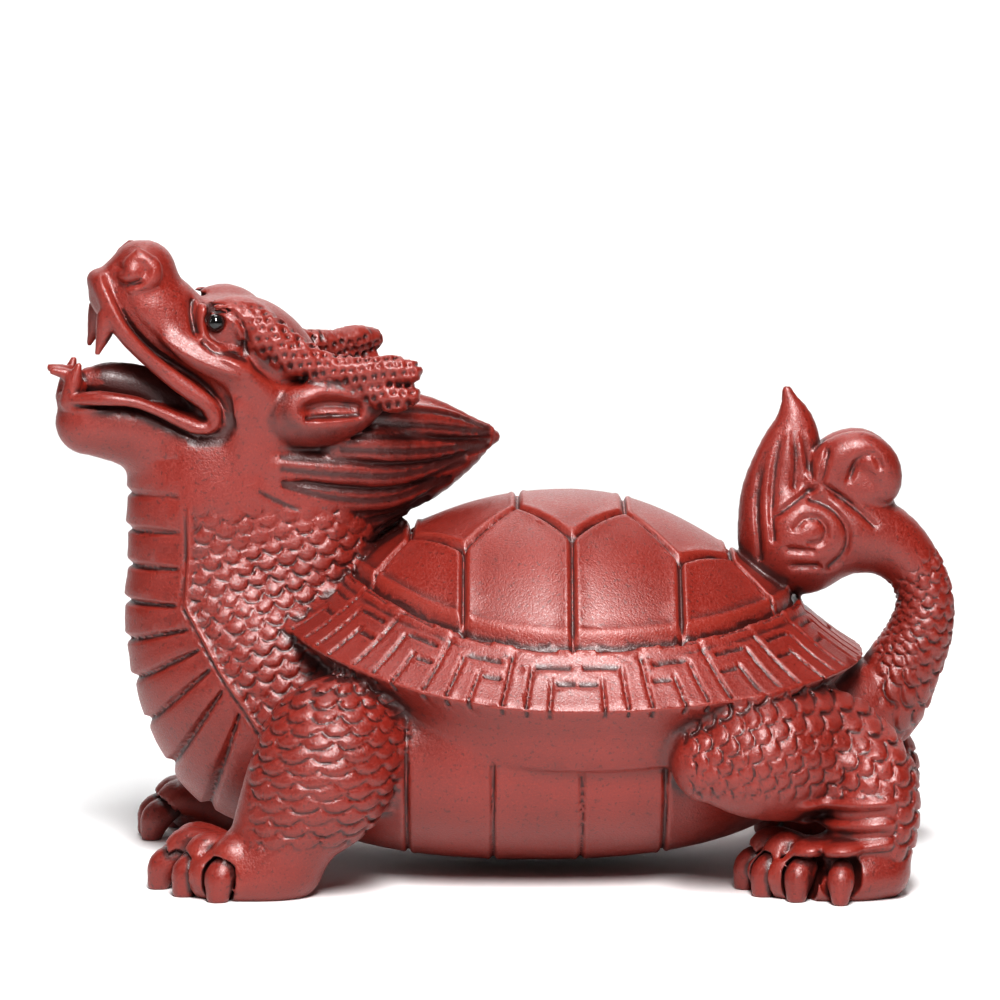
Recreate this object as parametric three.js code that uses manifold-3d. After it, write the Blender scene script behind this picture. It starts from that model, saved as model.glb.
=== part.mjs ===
// A dragon turtle figure in unglazed red stoneware clay, standing on four clawed feet, with two glossy
// eye beads. The figure is worked as a modeller works clay: coils and lumps are luted together, then
// seams, plates and locks are cut in. Its surface is then laid in triangles, few where it is plain.
// +Z is up, the head looks along -X, and the left flank is on the -Y side.
import * as THREE from "three";
import { mergeVertices } from "three/addons/utils/BufferGeometryUtils.js";
import Module from "manifold-3d";

// Driving sizes, mm
const LENGTH = 120; // front tooth to the back of the tail
const SHELL_LENGTH = 77; // skirt, front to rear
const SHELL_WIDTH = 63; // skirt, flank to flank
const DOME_MARGIN_FRONT = 9.2; // width of the skirt at its two ends
const DOME_MARGIN_SIDE = 5.8; // width of the skirt at the flanks
const EYE_BEAD_DIAMETER = 2.3;
const EYE_BEAD_GAP = 0.3; // clearance round a bead in its socket
const SEAM_WIDTH = 1.5; // shell seams and belly seams
const SEAM_DEPTH = 0.75;
const FRET_WIDTH = 0.9; // strokes of the key fret on the skirt
const FRET_DEPTH = 0.4;
const FRET_UNITS = 16; // fret motifs round the skirt
const PLATE_PITCH = 4.8; // plates down the throat
const TRIANGLES = 6400; // faces of the clay body, before the fret is cut

// The pose and proportions are in parts of the length, 120 parts in all.
const PARTS = 120;
const PART = LENGTH / PARTS;
const parts = (millimetres) => millimetres / PART;
const HEAD_AT = [-38, 0, 55]; // where head and neck meet
const HEAD_YAW = THREE.MathUtils.degToRad(14); // the head looks a little to its left
const HEAD_ROLL = THREE.MathUtils.degToRad(7);
const STRIDE_FRONT = 4.6; // the right front foot is this far ahead of the left
const STRIDE_REAR = -5; // and the right rear foot this far behind

// Soft joins
const softMin = (a, b, k) => {
  const h = Math.max(k - Math.abs(a - b), 0) / k;
  return Math.min(a, b) - (h * h * k) / 4;
};
const softMax = (a, b, k) => -softMin(-a, -b, k);
const clamp = THREE.MathUtils.clamp;
const smooth = (x, from, to) => THREE.MathUtils.smoothstep(x, from, to);

// A coil of clay: a smooth curve through [x, y, z, radius] stations, pressed flat along Y
const COIL_STEPS = 4; // straight steps between two stations
function coil(stations, flat = 1) {
  const count = (stations.length - 1) * COIL_STEPS;
  const centre = new THREE.CatmullRomCurve3(
    stations.map(([x, y, z]) => new THREE.Vector3(x, y, z)),
    false,
    "catmullrom",
  );
  const radius = new THREE.SplineCurve(stations.map((s, i) => new THREE.Vector2(i, s[3])));
  const points = [];
  for (let i = 0; i <= count; i++) {
    const p = centre.getPoint(i / count);
    points.push([p.x, p.y, p.z, radius.getPoint(i / count).y]);
  }
  const box = new THREE.Box3();
  for (const [x, y, z, r] of points) {
    box.expandByPoint(new THREE.Vector3(x - r, y - r, z - r));
    box.expandByPoint(new THREE.Vector3(x + r, y + r, z + r));
  }
  const ball = box.getBoundingSphere(new THREE.Sphere());
  const at = (x, y, z) => {
    let best = Infinity;
    for (let i = 0; i < count; i++) {
      const a = points[i];
      const b = points[i + 1];
      const ux = b[0] - a[0];
      const uy = b[1] - a[1];
      const uz = b[2] - a[2];
      const span = ux * ux + uy * uy + uz * uz;
      const t = clamp(((x - a[0]) * ux + (y - a[1]) * uy + (z - a[2]) * uz) / span, 0, 1);
      const vx = x - a[0] - ux * t;
      const vy = (y - a[1] - uy * t) / flat;
      const vz = z - a[2] - uz * t;
      best = Math.min(best, Math.sqrt(vx * vx + vy * vy + vz * vz) - a[3] - (b[3] - a[3]) * t);
    }
    return best > 0 ? best * flat : best;
  };
  return { at, centre: ball.center, reach: ball.radius };
}

// A rounded lump: an ellipsoid, tipped about Y by `tip` and turned about Z by `turn`
function lump(centre, radii, { tip = 0, turn = 0 } = {}) {
  const matrix = new THREE.Matrix4()
    .makeRotationFromEuler(new THREE.Euler(0, -tip, turn, "ZYX"))
    .transpose();
  const m = matrix.elements;
  const [a, b, c] = radii;
  const at = (x, y, z) => {
    const px = x - centre[0];
    const py = y - centre[1];
    const pz = z - centre[2];
    const qx = (m[0] * px + m[4] * py + m[8] * pz) / a;
    const qy = (m[1] * px + m[5] * py + m[9] * pz) / b;
    const qz = (m[2] * px + m[6] * py + m[10] * pz) / c;
    const near = Math.sqrt(qx * qx + qy * qy + qz * qz);
    const slope = Math.sqrt((qx / a) ** 2 + (qy / b) ** 2 + (qz / c) ** 2);
    return slope > 0 ? (near * (near - 1)) / slope : -Math.min(a, b, c);
  };
  return { at, centre: new THREE.Vector3(...centre), reach: Math.max(a, b, c) };
}

// Steps of the work: each takes the distance so far and the point, and gives the new distance.
const farFrom = (shape, x, y, z) =>
  Math.hypot(x - shape.centre.x, y - shape.centre.y, z - shape.centre.z) - shape.reach;
const add = (shape, blend) => (d, x, y, z) =>
  farFrom(shape, x, y, z) > d + blend ? d : softMin(d, shape.at(x, y, z), blend);
const cut = (shape, blend) => (d, x, y, z) =>
  farFrom(shape, x, y, z) > blend - d ? d : softMax(d, -shape.at(x, y, z), blend);
// A line pressed into the clay with a tool, or with a negative depth a fine roll laid on it
function press(stations, width, depth) {
  const line = coil(stations.map(([x, y, z]) => [x, y, z, 0]));
  return (d, x, y, z) => {
    if (Math.abs(d) > 2 * width || farFrom(line, x, y, z) > width) return d;
    const off = line.at(x, y, z) / width;
    return off < 1 ? d + depth * (1 - off * off) ** 2 : d;
  };
}
const work = (steps) => (x, y, z, start = Infinity) =>
  steps.reduce((d, step) => step(d, x, y, z), start);

// Distance from (u, v) to a closed outline in its plane, negative inside
function outlineDistance(outline, u, v) {
  let best = Infinity;
  let inside = false;
  for (let i = 0, j = outline.length - 1; i < outline.length; j = i++) {
    const [au, av] = outline[i];
    const [bu, bv] = outline[j];
    const eu = bu - au;
    const ev = bv - av;
    const t = clamp(((u - au) * eu + (v - av) * ev) / (eu * eu + ev * ev), 0, 1);
    best = Math.min(best, Math.hypot(u - au - eu * t, v - av - ev * t));
    if (av > v !== bv > v && u < au + (eu * (v - av)) / ev) inside = !inside;
  }
  return inside ? -best : best;
}
function segmentDistance(u, v, [au, av], [bu, bv]) {
  const eu = bu - au;
  const ev = bv - av;
  const t = clamp(((u - au) * eu + (v - av) * ev) / (eu * eu + ev * ev), 0, 1);
  return Math.hypot(u - au - eu * t, v - av - ev * t);
}
const groove = (distance, width, depth) =>
  distance < width ? depth * (1 - (distance / width) ** 2) ** 2 : 0;

// The shell: one section, swept round an oval plan and lifted towards the two ends
const SHELL_MIDDLE = 9.2; // centre of the shell along X
const SKIRT = { half: parts(SHELL_LENGTH) / 2, side: parts(SHELL_WIDTH) / 2, power: 2.5 };
const DOME = {
  half: SKIRT.half - parts(DOME_MARGIN_FRONT),
  side: SKIRT.side - parts(DOME_MARGIN_SIDE),
  power: 2.1,
};
const LIFT_FRONT = 8.6;
const LIFT_REAR = 4.2;
const FOOT_SHARE = 0.88; // of the lift that the dome's foot has, and its crown has none
const REAR_FALL = 1.7; // the dome falls away sooner behind than in front
const FALL_PEAK = 4 / 27; // highest value of r * r * (1 - r)
const RIM_HEIGHT = 24.4; // at the flank
const TOP_HEIGHT = 49.6;
const FOOT_HEIGHT = 32.3; // where the dome meets the skirt, at the flank
const BAND_HEIGHT = 16.4; // where the side band meets the belly
const ovalReach = (oval, x, y) =>
  (Math.abs((x - SHELL_MIDDLE) / oval.half) ** oval.power + Math.abs(y / oval.side) ** oval.power) **
  (1 / oval.power);

function shellPlace(x, y) {
  const dome = ovalReach(DOME, x, y);
  const skirt = ovalReach(SKIRT, x, y);
  const endways = Math.abs(x - SHELL_MIDDLE) / SKIRT.half / Math.max(skirt, 0.001);
  const lift = (x < SHELL_MIDDLE ? LIFT_FRONT : LIFT_REAR) * Math.min(endways, 1) ** 2;
  let across = dome * DOME.side;
  let out = 0;
  if (dome > 1) {
    out = skirt < 1 ? (dome - 1) / (dome - 1 + 1 - skirt) : skirt;
    across = DOME.side + (SKIRT.side - DOME.side) * Math.min(out, 1);
    if (skirt > 1) across = SKIRT.side * skirt;
  }
  const rise = dome < 1 ? FOOT_SHARE * dome ** 3 : FOOT_SHARE + (1 - FOOT_SHARE) * Math.min(out, 1);
  const behind = x > SHELL_MIDDLE && dome < 1;
  const fall = behind ? (REAR_FALL * dome * dome * (1 - dome)) / FALL_PEAK : 0;
  return { dome, skirt, out, across, lift: lift * rise - fall * Math.min(endways, 1) };
}

const DOME_ROUNDNESS = 2.55; // power of its profile
const DOME_STEPS = 12;
const SHELL_SECTION = (() => {
  const dome = [];
  for (let i = 0; i <= DOME_STEPS; i++) {
    const share = i / DOME_STEPS;
    const rise = (TOP_HEIGHT - FOOT_HEIGHT) * (1 - share ** DOME_ROUNDNESS);
    dome.push([DOME.side * share, FOOT_HEIGHT + rise]);
  }
  return [
    ...dome,
    [SKIRT.side, RIM_HEIGHT],
    [SKIRT.side - 0.7, RIM_HEIGHT - 1.2],
    [SKIRT.side - 2.2, RIM_HEIGHT - 3.6],
    [SKIRT.side - 3.6, BAND_HEIGHT],
    [SKIRT.side - 12, BAND_HEIGHT - 4],
    [0, BAND_HEIGHT - 4],
    [-1, BAND_HEIGHT],
    [-1, TOP_HEIGHT],
  ];
})();

// Seams of the back: a row of three six-sided plates, with ribs down to the skirt
const RIDGE_MIDDLE = SHELL_MIDDLE - 0.3;
const RIDGE_STEP = 14; // length of a back plate
const RIDGE_HALF = 8; // half its width at its ends
const RIDGE_POINT = 15.4; // and at its side corners
const RIDGE_TAPER = 1.2; // the outer plates are narrower
const LAST_SEAM = 0.52; // where the seams at the two ends meet the dome's foot, in half widths
function shellSeams() {
  const seams = [];
  for (let i = -1; i <= 1; i++) {
    const x = RIDGE_MIDDLE + i * RIDGE_STEP;
    const corner = RIDGE_POINT - RIDGE_TAPER * Math.abs(i);
    seams.push([[x, corner], [x, SKIRT.side]]);
    for (const side of [-1, 1]) {
      const end = x + (side * RIDGE_STEP) / 2;
      const half = RIDGE_HALF - (Math.abs(i + side) > 1 ? RIDGE_TAPER : 0);
      seams.push([[x, corner], [end, half]]);
      seams.push([[end, 0], [end, half]]);
    }
  }
  for (const side of [-1, 1]) {
    const end = RIDGE_MIDDLE + side * RIDGE_STEP * 1.5;
    const last = SHELL_MIDDLE + side * (DOME.half - parts(SEAM_WIDTH));
    seams.push([[end, RIDGE_HALF - RIDGE_TAPER], [last, DOME.side * LAST_SEAM]]);
  }
  return seams;
}
const SEAMS = shellSeams();

function shell(x, y, z) {
  const place = shellPlace(x, y);
  let d = outlineDistance(SHELL_SECTION, place.across, z - place.lift);
  if (Math.abs(d) > 3 || z - place.lift < RIM_HEIGHT - 1) return d;
  const width = parts(SEAM_WIDTH) / 2;
  const depth = parts(SEAM_DEPTH);
  if (place.dome < 1.1) {
    const nearest = Math.min(...SEAMS.map(([a, b]) => segmentDistance(x, Math.abs(y), a, b)));
    const fade = 1 - smooth(place.dome, 0.98, 1.04);
    d += groove(nearest, width, depth) * fade;
  }
  d += groove(Math.abs(place.across - DOME.side), width, depth);
  return d;
}

// Belly plate: a boat-shaped bulge under the side band, with seams across it
const BELLY = { centre: [4, 0, BAND_HEIGHT], half: [38, 26.6, 15.2], power: 2.35 };
const BELLY_SEAMS = [-12.4, -1.3, 10.1, 20.8];
function belly(x, y, z) {
  const [a, b, c] = BELLY.half;
  const p = BELLY.power;
  const qx = Math.abs(x - BELLY.centre[0]) / a;
  const qy = Math.abs(y) / b;
  const qz = Math.abs(z - BELLY.centre[2]) / c;
  const near = (qx ** p + qy ** p + qz ** p) ** (1 / p);
  const slope = Math.hypot(qx / a, qy / b, qz / c);
  let d = slope > 0 ? (near * (near - 1)) / Math.max(slope, 0.01) : -c;
  if (Math.abs(d) < 2) {
    const nearest = Math.min(...BELLY_SEAMS.map((place) => Math.abs(x - place)));
    d += groove(nearest, parts(SEAM_WIDTH) / 2, parts(SEAM_DEPTH));
  }
  return d;
}

// Neck and chest, with overlapping plates down the front
const NECK = coil([
  [-29.8, 0, 22, 17.6], [-36.4, 0, 31, 13.9], [-38.4, 0, 41, 11.5], [-38.2, 0, 50, 11.3], [-34, 0, 57, 9.5],
], 0.8);
const NAPE = lump([-26.8, 0, 41.5], [9.4, 7.6, 10.5]); // the neck broadens where it leaves the shell
const THROAT_AXIS = { x: -29.5, z: 35.2 }; // the plates fan out from here round the chest
const THROAT_REACH = 19.5; // from that axis to the front of the chest
const THROAT_MIDDLE = { x: -37.4, slant: 0.75 }; // line down the neck, and how it runs back below the axis
const THROAT_SPREAD = 0.5; // how little the plates reach round the sides
const PLATE_STEP = 0.95; // depth of the step between two plates, in seams
const PLATE_LEAN = 0.35; // and how much each plate leans in
const PLATE_EDGE = 0.22; // share of a plate that the step takes
function neck(x, y, z) {
  let d = softMin(NECK.at(x, y, z), NAPE.at(x, y, z), 4);
  if (Math.abs(d) > 2) return d;
  const middle = THROAT_MIDDLE.x + THROAT_MIDDLE.slant * Math.max(THROAT_AXIS.z - z, 0);
  const ahead = smooth(middle - x - Math.abs(y) * THROAT_SPREAD, 0.2, 1.4);
  const turn = Math.atan2(THROAT_AXIS.z - z, THROAT_AXIS.x - x);
  const run = z > THROAT_AXIS.z ? THROAT_AXIS.z - z : turn * THROAT_REACH;
  const share = (((run / parts(PLATE_PITCH)) % 1) + 1) % 1;
  const step = PLATE_STEP * (1 - smooth(share, 0, PLATE_EDGE)) + PLATE_LEAN * (1 - share);
  return d + ahead * parts(SEAM_DEPTH) * step;
}

// Legs, modelled on the +Y side and stepped apart by the stride
const FRONT_LEG = [
  add(coil([[-16, 14, 19, 8.4], [-21.3, 22.4, 18.6, 9.2], [-23.4, 25.2, 15, 9.2], [-26.6, 26, 10.5, 7.4],
    [-29, 26, 5.5, 6.4]], 0.84), 2.5),
  add(lump([-33, 25, 3], [9, 6.8, 4.7], { turn: 0.1 }), 2),
];
const FRONT_TOES = [[-43.6, 16], [-44.4, 21], [-40.8, 26.4], [-36.2, 30.4]];
const FRONT_PALM = [-29, 23];
const REAR_LEG = [
  add(coil([[38.5, 14, 18.4, 8], [38, 22, 17.4, 8.2], [32.5, 26.2, 17.6, 7.6], [26.4, 27.2, 17.2, 5]],
    0.86), 2.5),
  add(coil([[43, 18, 17.6, 7.4], [46.6, 24, 14.6, 6.4], [47.4, 25, 9, 5.8], [45.6, 25, 4, 5.8]],
    0.95), 1.5),
  add(lump([41.6, 25, 2.8], [10.4, 7.2, 4.7], { turn: 0.2 }), 1.5),
];
const REAR_TOES = [[31.2, 21.2], [33.2, 26.4], [37.4, 30.2], [42.6, 32.8]];
const REAR_PALM = [44.6, 21.6];
const TOE = [[0.4, 4.2, 2.6], [0.72, 5.6, 2.6], [0.84, 4.4, 2.3]]; // share of its length, height, radius
const NAIL = [[0.84, 4.2, 1.8], [0.95, 3, 2.1], [1, 0.8, 1.5]];
function toes(palm, tips) {
  const steps = [];
  for (const [x, y] of tips) {
    const along = ([share, z, r]) => [
      palm[0] + (x - palm[0]) * share,
      palm[1] + (y - palm[1]) * share,
      z,
      r,
    ];
    steps.push(add(coil(TOE.map(along)), 0.5));
    steps.push(add(coil(NAIL.map(along)), 0.3));
  }
  return steps;
}
const frontLeg = work([...FRONT_LEG, ...toes(FRONT_PALM, FRONT_TOES)]);
const rearLeg = work([...REAR_LEG, ...toes(REAR_PALM, REAR_TOES)]);
// The thigh keeps its place and the foot takes the whole stride.
const stepped = (stride, y, z) => (y > 0 ? stride * (1 - smooth(z, 6, 24)) : 0);
const legs = (x, y, z) =>
  Math.min(
    frontLeg(x + stepped(STRIDE_FRONT, y, z), Math.abs(y), z),
    rearLeg(x + stepped(STRIDE_REAR, y, z), Math.abs(y), z),
  );

// Tail: up from the rump and over, ending in a curled knob and a flame-shaped tuft
const tail = work([
  add(coil([[43, 0, 20.5, 7.6], [49.8, 0, 21, 6], [53.3, 0, 26.2, 5], [55.5, 0, 31, 4.3],
    [56, 0, 35.5, 3.8], [54.2, 0, 39.8, 3.9], [50.2, 0, 43.2, 4.8], [44, 0, 44.6, 6]]), 2),
  add(lump([39.4, 0, 43.6], [7.8, 7, 7.8]), 1.5),
  add(coil([[37.4, 0, 44, 6.2], [36.8, 0, 49, 5.2], [38, 0, 54.4, 4.2], [38.6, 0, 58.6, 2.5],
    [37.6, 0, 62.8, 0.7]], 0.8), 1),
  add(lump([46.6, 0, 50.6], [5.4, 4.6, 5]), 1.5),
  add(coil([[42.6, 1.6, 51, 3.4], [44.2, 2.2, 54, 2.9], [47.2, 2.4, 55, 2.7], [49.6, 2.4, 53.2, 2.7],
    [50, 2.2, 50.4, 2.4], [47.8, 2.8, 49.8, 1.8]]), 0.6),
]);

// Head, in its own frame: the face looks along -X and both halves are alike
const JAW_GAP = [
  [-3.6, 5.6],
  [-3.4, 6.8],
  [-6.7, 8.9],
  [-11.9, 13.2],
  [-15.4, 16.6],
  [-17.2, 19.6],
  [-26, 26],
  [-30, 12],
  [-21.4, 8.4],
  [-16.2, 9.2],
  [-11.4, 8.4],
  [-6.2, 6.4],
];
const HEAD_SKULL = [
  add(lump([4.6, 0, 9.4], [9.6, 9, 9.2]), 2),
  add(coil([[3, 0, 13, 7.6], [-4.3, 0, 14.8, 6.1], [-9.1, 0, 18.8, 5.8], [-12.9, 0, 21.1, 4.3]]), 2.5),
  add(coil([[1, 0, 0.5, 7.6], [-7, 0, 2.6, 5.8], [-13.3, 0, 3.9, 5.1], [-17.1, 0, 4.1, 4.3]]), 2.5),
  add(coil([[8, 0, 3, 8.6], [17, 0, -1.2, 7.4], [25, 0, -2.6, 6], [32, 0, -0.8, 3.6],
    [37.8, 0, 1, 0.9]]), 2),
  add(coil([[-6, 0, -1, 4.6], [-2.2, 0, -5, 8], [2.4, 0, -9, 9.4]]), 4),
  add(lump([2, 7, 7], [3.6, 2.8, 3.4]), 1.8),
  add(lump([4, 6.2, 2], [4.2, 3.4, 5]), 1.6),
];
const HEAD_FACE = [
  add(lump([-10.1, 0, 24], [4.3, 4.4, 4.2]), 1.5),
  add(lump([-12, 3.4, 24.4], [2, 1.7, 1.9]), 0.5),
  add(coil([[-11.2, 3.4, 27], [-9.2, 4.3, 25.6], [-9.4, 4.6, 23.6], [-12, 4.1, 22.4]]
    .map((p) => [...p, 0.7])), 0.6),
  add(coil([[-16.1, 0, 23], [-15.7, 2.2, 22.4], [-14.6, 3.8, 19.6], [-13, 4.8, 16.7], [-10.2, 5.4, 13.8],
    [-7.4, 6, 11.2], [-4.6, 6.8, 9.1], [-2, 7.4, 7], [-1.4, 7.6, 5], [-3, 7.2, 4.1], [-5.5, 6.6, 5.1],
    [-8.4, 6, 6.4], [-12, 5.4, 7.8], [-15.8, 4.6, 8], [-19, 2.4, 7.3], [-20, 0, 7]]
    .map((p) => [...p, 1.35])), 0.8),
  add(coil([[-8.1, 4.6, 17, 1.6], [-4.9, 6, 14.6, 2.3], [0.9, 7.6, 12.1, 2.5], [4.6, 8, 9.2, 2]]), 1),
  add(lump([1.8, 4.4, 18.2], [4.8, 3.6, 3.2], { tip: -0.1 }), 1),
  add(lump([-0.6, 5.6, 16.8], [2.6, 1.9, 2.4]), 0.3),
  add(coil([[-3.1, 5.6, 19.8, 0.8], [-3.3, 6, 17.6, 0.8], [-2.6, 6.6, 15.6, 0.8], [0, 7.4, 14, 0.8],
    [3, 7.8, 12.4, 0.8]]), 0.4),
  add(coil([[-2.6, 6.2, 19.4, 0.7], [-1, 6.8, 20, 0.8], [0.9, 7.2, 19.2, 0.8], [2.2, 7.5, 16.8, 0.8],
    [3, 7.7, 14, 0.7]]), 0.4),
  press([[3.6, 8.4, 14.6], [6, 8.8, 11.6], [9, 9.2, 10.4], [12, 9.6, 11.6]], 1.3, 0.8),
  press([[-14.8, 2.8, 23.6], [-13.6, 4.6, 21.4], [-11.8, 5.4, 18.2], [-8.7, 6, 15.2], [-5, 6.8, 12.2],
    [-1.4, 7.8, 9.6], [0.4, 8.4, 7], [-0.4, 8, 3.6], [-4, 7, 2.9]], 1.3, 0.9),
];
const ANTLER = [
  add(coil([[1.8, 5.8, 18.8, 2.3], [4.6, 6.6, 17, 2.9], [8.2, 7.8, 14.4, 2.7], [12.8, 9, 12.6, 2],
    [17.4, 10.2, 12.2, 1.9], [21, 11.2, 12.5, 2], [23.4, 12, 12.4, 1.6]]), 0.8),
  add(coil([[15, 9.2, 12.6, 1.6], [18.6, 10.4, 10, 1.9], [21.2, 11.2, 9, 2.2],
    [23.2, 11.6, 9.2, 1.7]]), 0.7),
];
const EAR = [
  add(coil([[6.8, 8, 6, 3.4], [11, 9.2, 6.4, 4.4], [15.6, 9.2, 7, 3.6], [20, 8.4, 8, 1.6]],
    0.62), 0.8),
  cut(coil([[9.6, 12, 7.6, 1.2], [12.6, 12.3, 8, 1.9], [16.4, 11.6, 7.8, 1]]), 0.5),
];
const LOCKS = [
  [[16, 5, 5, 2.6], [22, 5.8, 4.5, 2.7], [29.4, 3.6, 3.5, 2.4], [36.8, 0.8, 1.8, 1]],
  [[15, 8, 1.6, 2.6], [21, 7.6, 1.2, 2.5], [28, 4.8, 0.6, 2.1], [36.6, 1, 0.4, 0.6]],
  [[7, 8.6, -0.8, 2.2], [15, 8.8, -1.6, 2.3], [23, 7, -2.2, 2.2], [33, 3, -1.2, 0.7]],
  [[7.2, 8.6, -3, 2], [14, 8.6, -4.8, 2.3], [22, 6.8, -5.4, 2.2], [31, 3, -3.6, 0.7]],
  [[4, 8.2, -3.8, 1.9], [10, 8.4, -6.6, 2.2], [18, 6.8, -8.4, 2.3], [28, 3, -6.4, 0.7]],
  [[1, 7.8, -4.8, 1.6], [7, 8, -8.4, 2], [14, 6.2, -11, 2.2], [24, 3, -9.4, 0.8]],
];
const MANE = LOCKS.map((stations) => add(coil(stations, 0.75), 0.5));
const TEETH = [
  add(coil([[-15.2, 3.4, 18.6, 1.5], [-15.8, 3.4, 16.2, 1], [-16.5, 3.4, 14, 0.4]]), 0.3),
  add(coil([[-20, 1.8, 7.2, 1.2], [-19.4, 2, 9.8, 1.1], [-18.8, 2.2, 12, 0.45]]), 0.3),
  add(coil([[-18.8, 1.2, 8.8, 1.2], [-20, 1.2, 10.6, 0.9], [-22, 1.2, 11.2, 0.5]]), 0.3),
];
const skull = work(HEAD_SKULL);
const face = work([...HEAD_FACE, ...ANTLER, ...EAR, ...MANE]);
const teeth = work(TEETH);
const TONGUE = coil([[-3, 0, 4, 3], [-9, 0, 8, 3], [-14, 0, 9.4, 2.6], [-17, 0, 9.8, 1.6]]);
const MOUTH = coil([[-4, 0, 6.4, 2.6], [-10, 0, 9.6, 4.2], [-16, 0, 12.4, 4.6], [-22, 0, 15, 4.6]],
  0.9);
const NOSTRIL = lump([-13.4, 4.6, 25], [0.8, 2, 0.8]);
const HEAD_CLEAR = 24; // further out than any antler or lock, the skull alone is near enough

function head(x, y, z) {
  const half = Math.abs(y);
  let d = skull(x, half, z);
  if (d > HEAD_CLEAR) return d;
  d = face(x, half, z, d);
  d = softMax(d, -outlineDistance(JAW_GAP, x, z), 0.7);
  d = softMax(d, -MOUTH.at(x, y, z), 0.7);
  d = softMax(d, -NOSTRIL.at(x, half, z), 0.3);
  return teeth(x, half, z, softMin(d, TONGUE.at(x, y, z), 0.5));
}
const HEAD_TURN = new THREE.Matrix4().makeRotationFromEuler(
  new THREE.Euler(HEAD_ROLL, 0, HEAD_YAW, "ZYX"),
);
const HEAD_FRAME = new THREE.Matrix4().makeTranslation(...HEAD_AT).multiply(HEAD_TURN);
const INTO_HEAD = HEAD_FRAME.clone().invert().elements;
function headAt(x, y, z) {
  const m = INTO_HEAD;
  return head(
    m[0] * x + m[4] * y + m[8] * z + m[12],
    m[1] * x + m[5] * y + m[9] * z + m[13],
    m[2] * x + m[6] * y + m[10] * z + m[14],
  );
}

// The whole figure
const HEAD_BALL = { centre: new THREE.Vector3(-33, 0, 60), reach: 33 };
const TAIL_BALL = { centre: new THREE.Vector3(46, 0, 40), reach: 28 };
function figure(x, y, z) {
  let d = shell(x, y, z);
  d = softMin(d, belly(x, y, z), 0.6);
  d = softMin(d, neck(x, y, z), 1.2);
  d = softMin(d, legs(x, y, z), 1.6);
  if (farFrom(TAIL_BALL, x, y, z) < d + 1) d = softMin(d, tail(x, Math.abs(y), z), 1);
  if (farFrom(HEAD_BALL, x, y, z) < d + 2) d = softMin(d, headAt(x, y, z), 2);
  return d;
}

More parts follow.
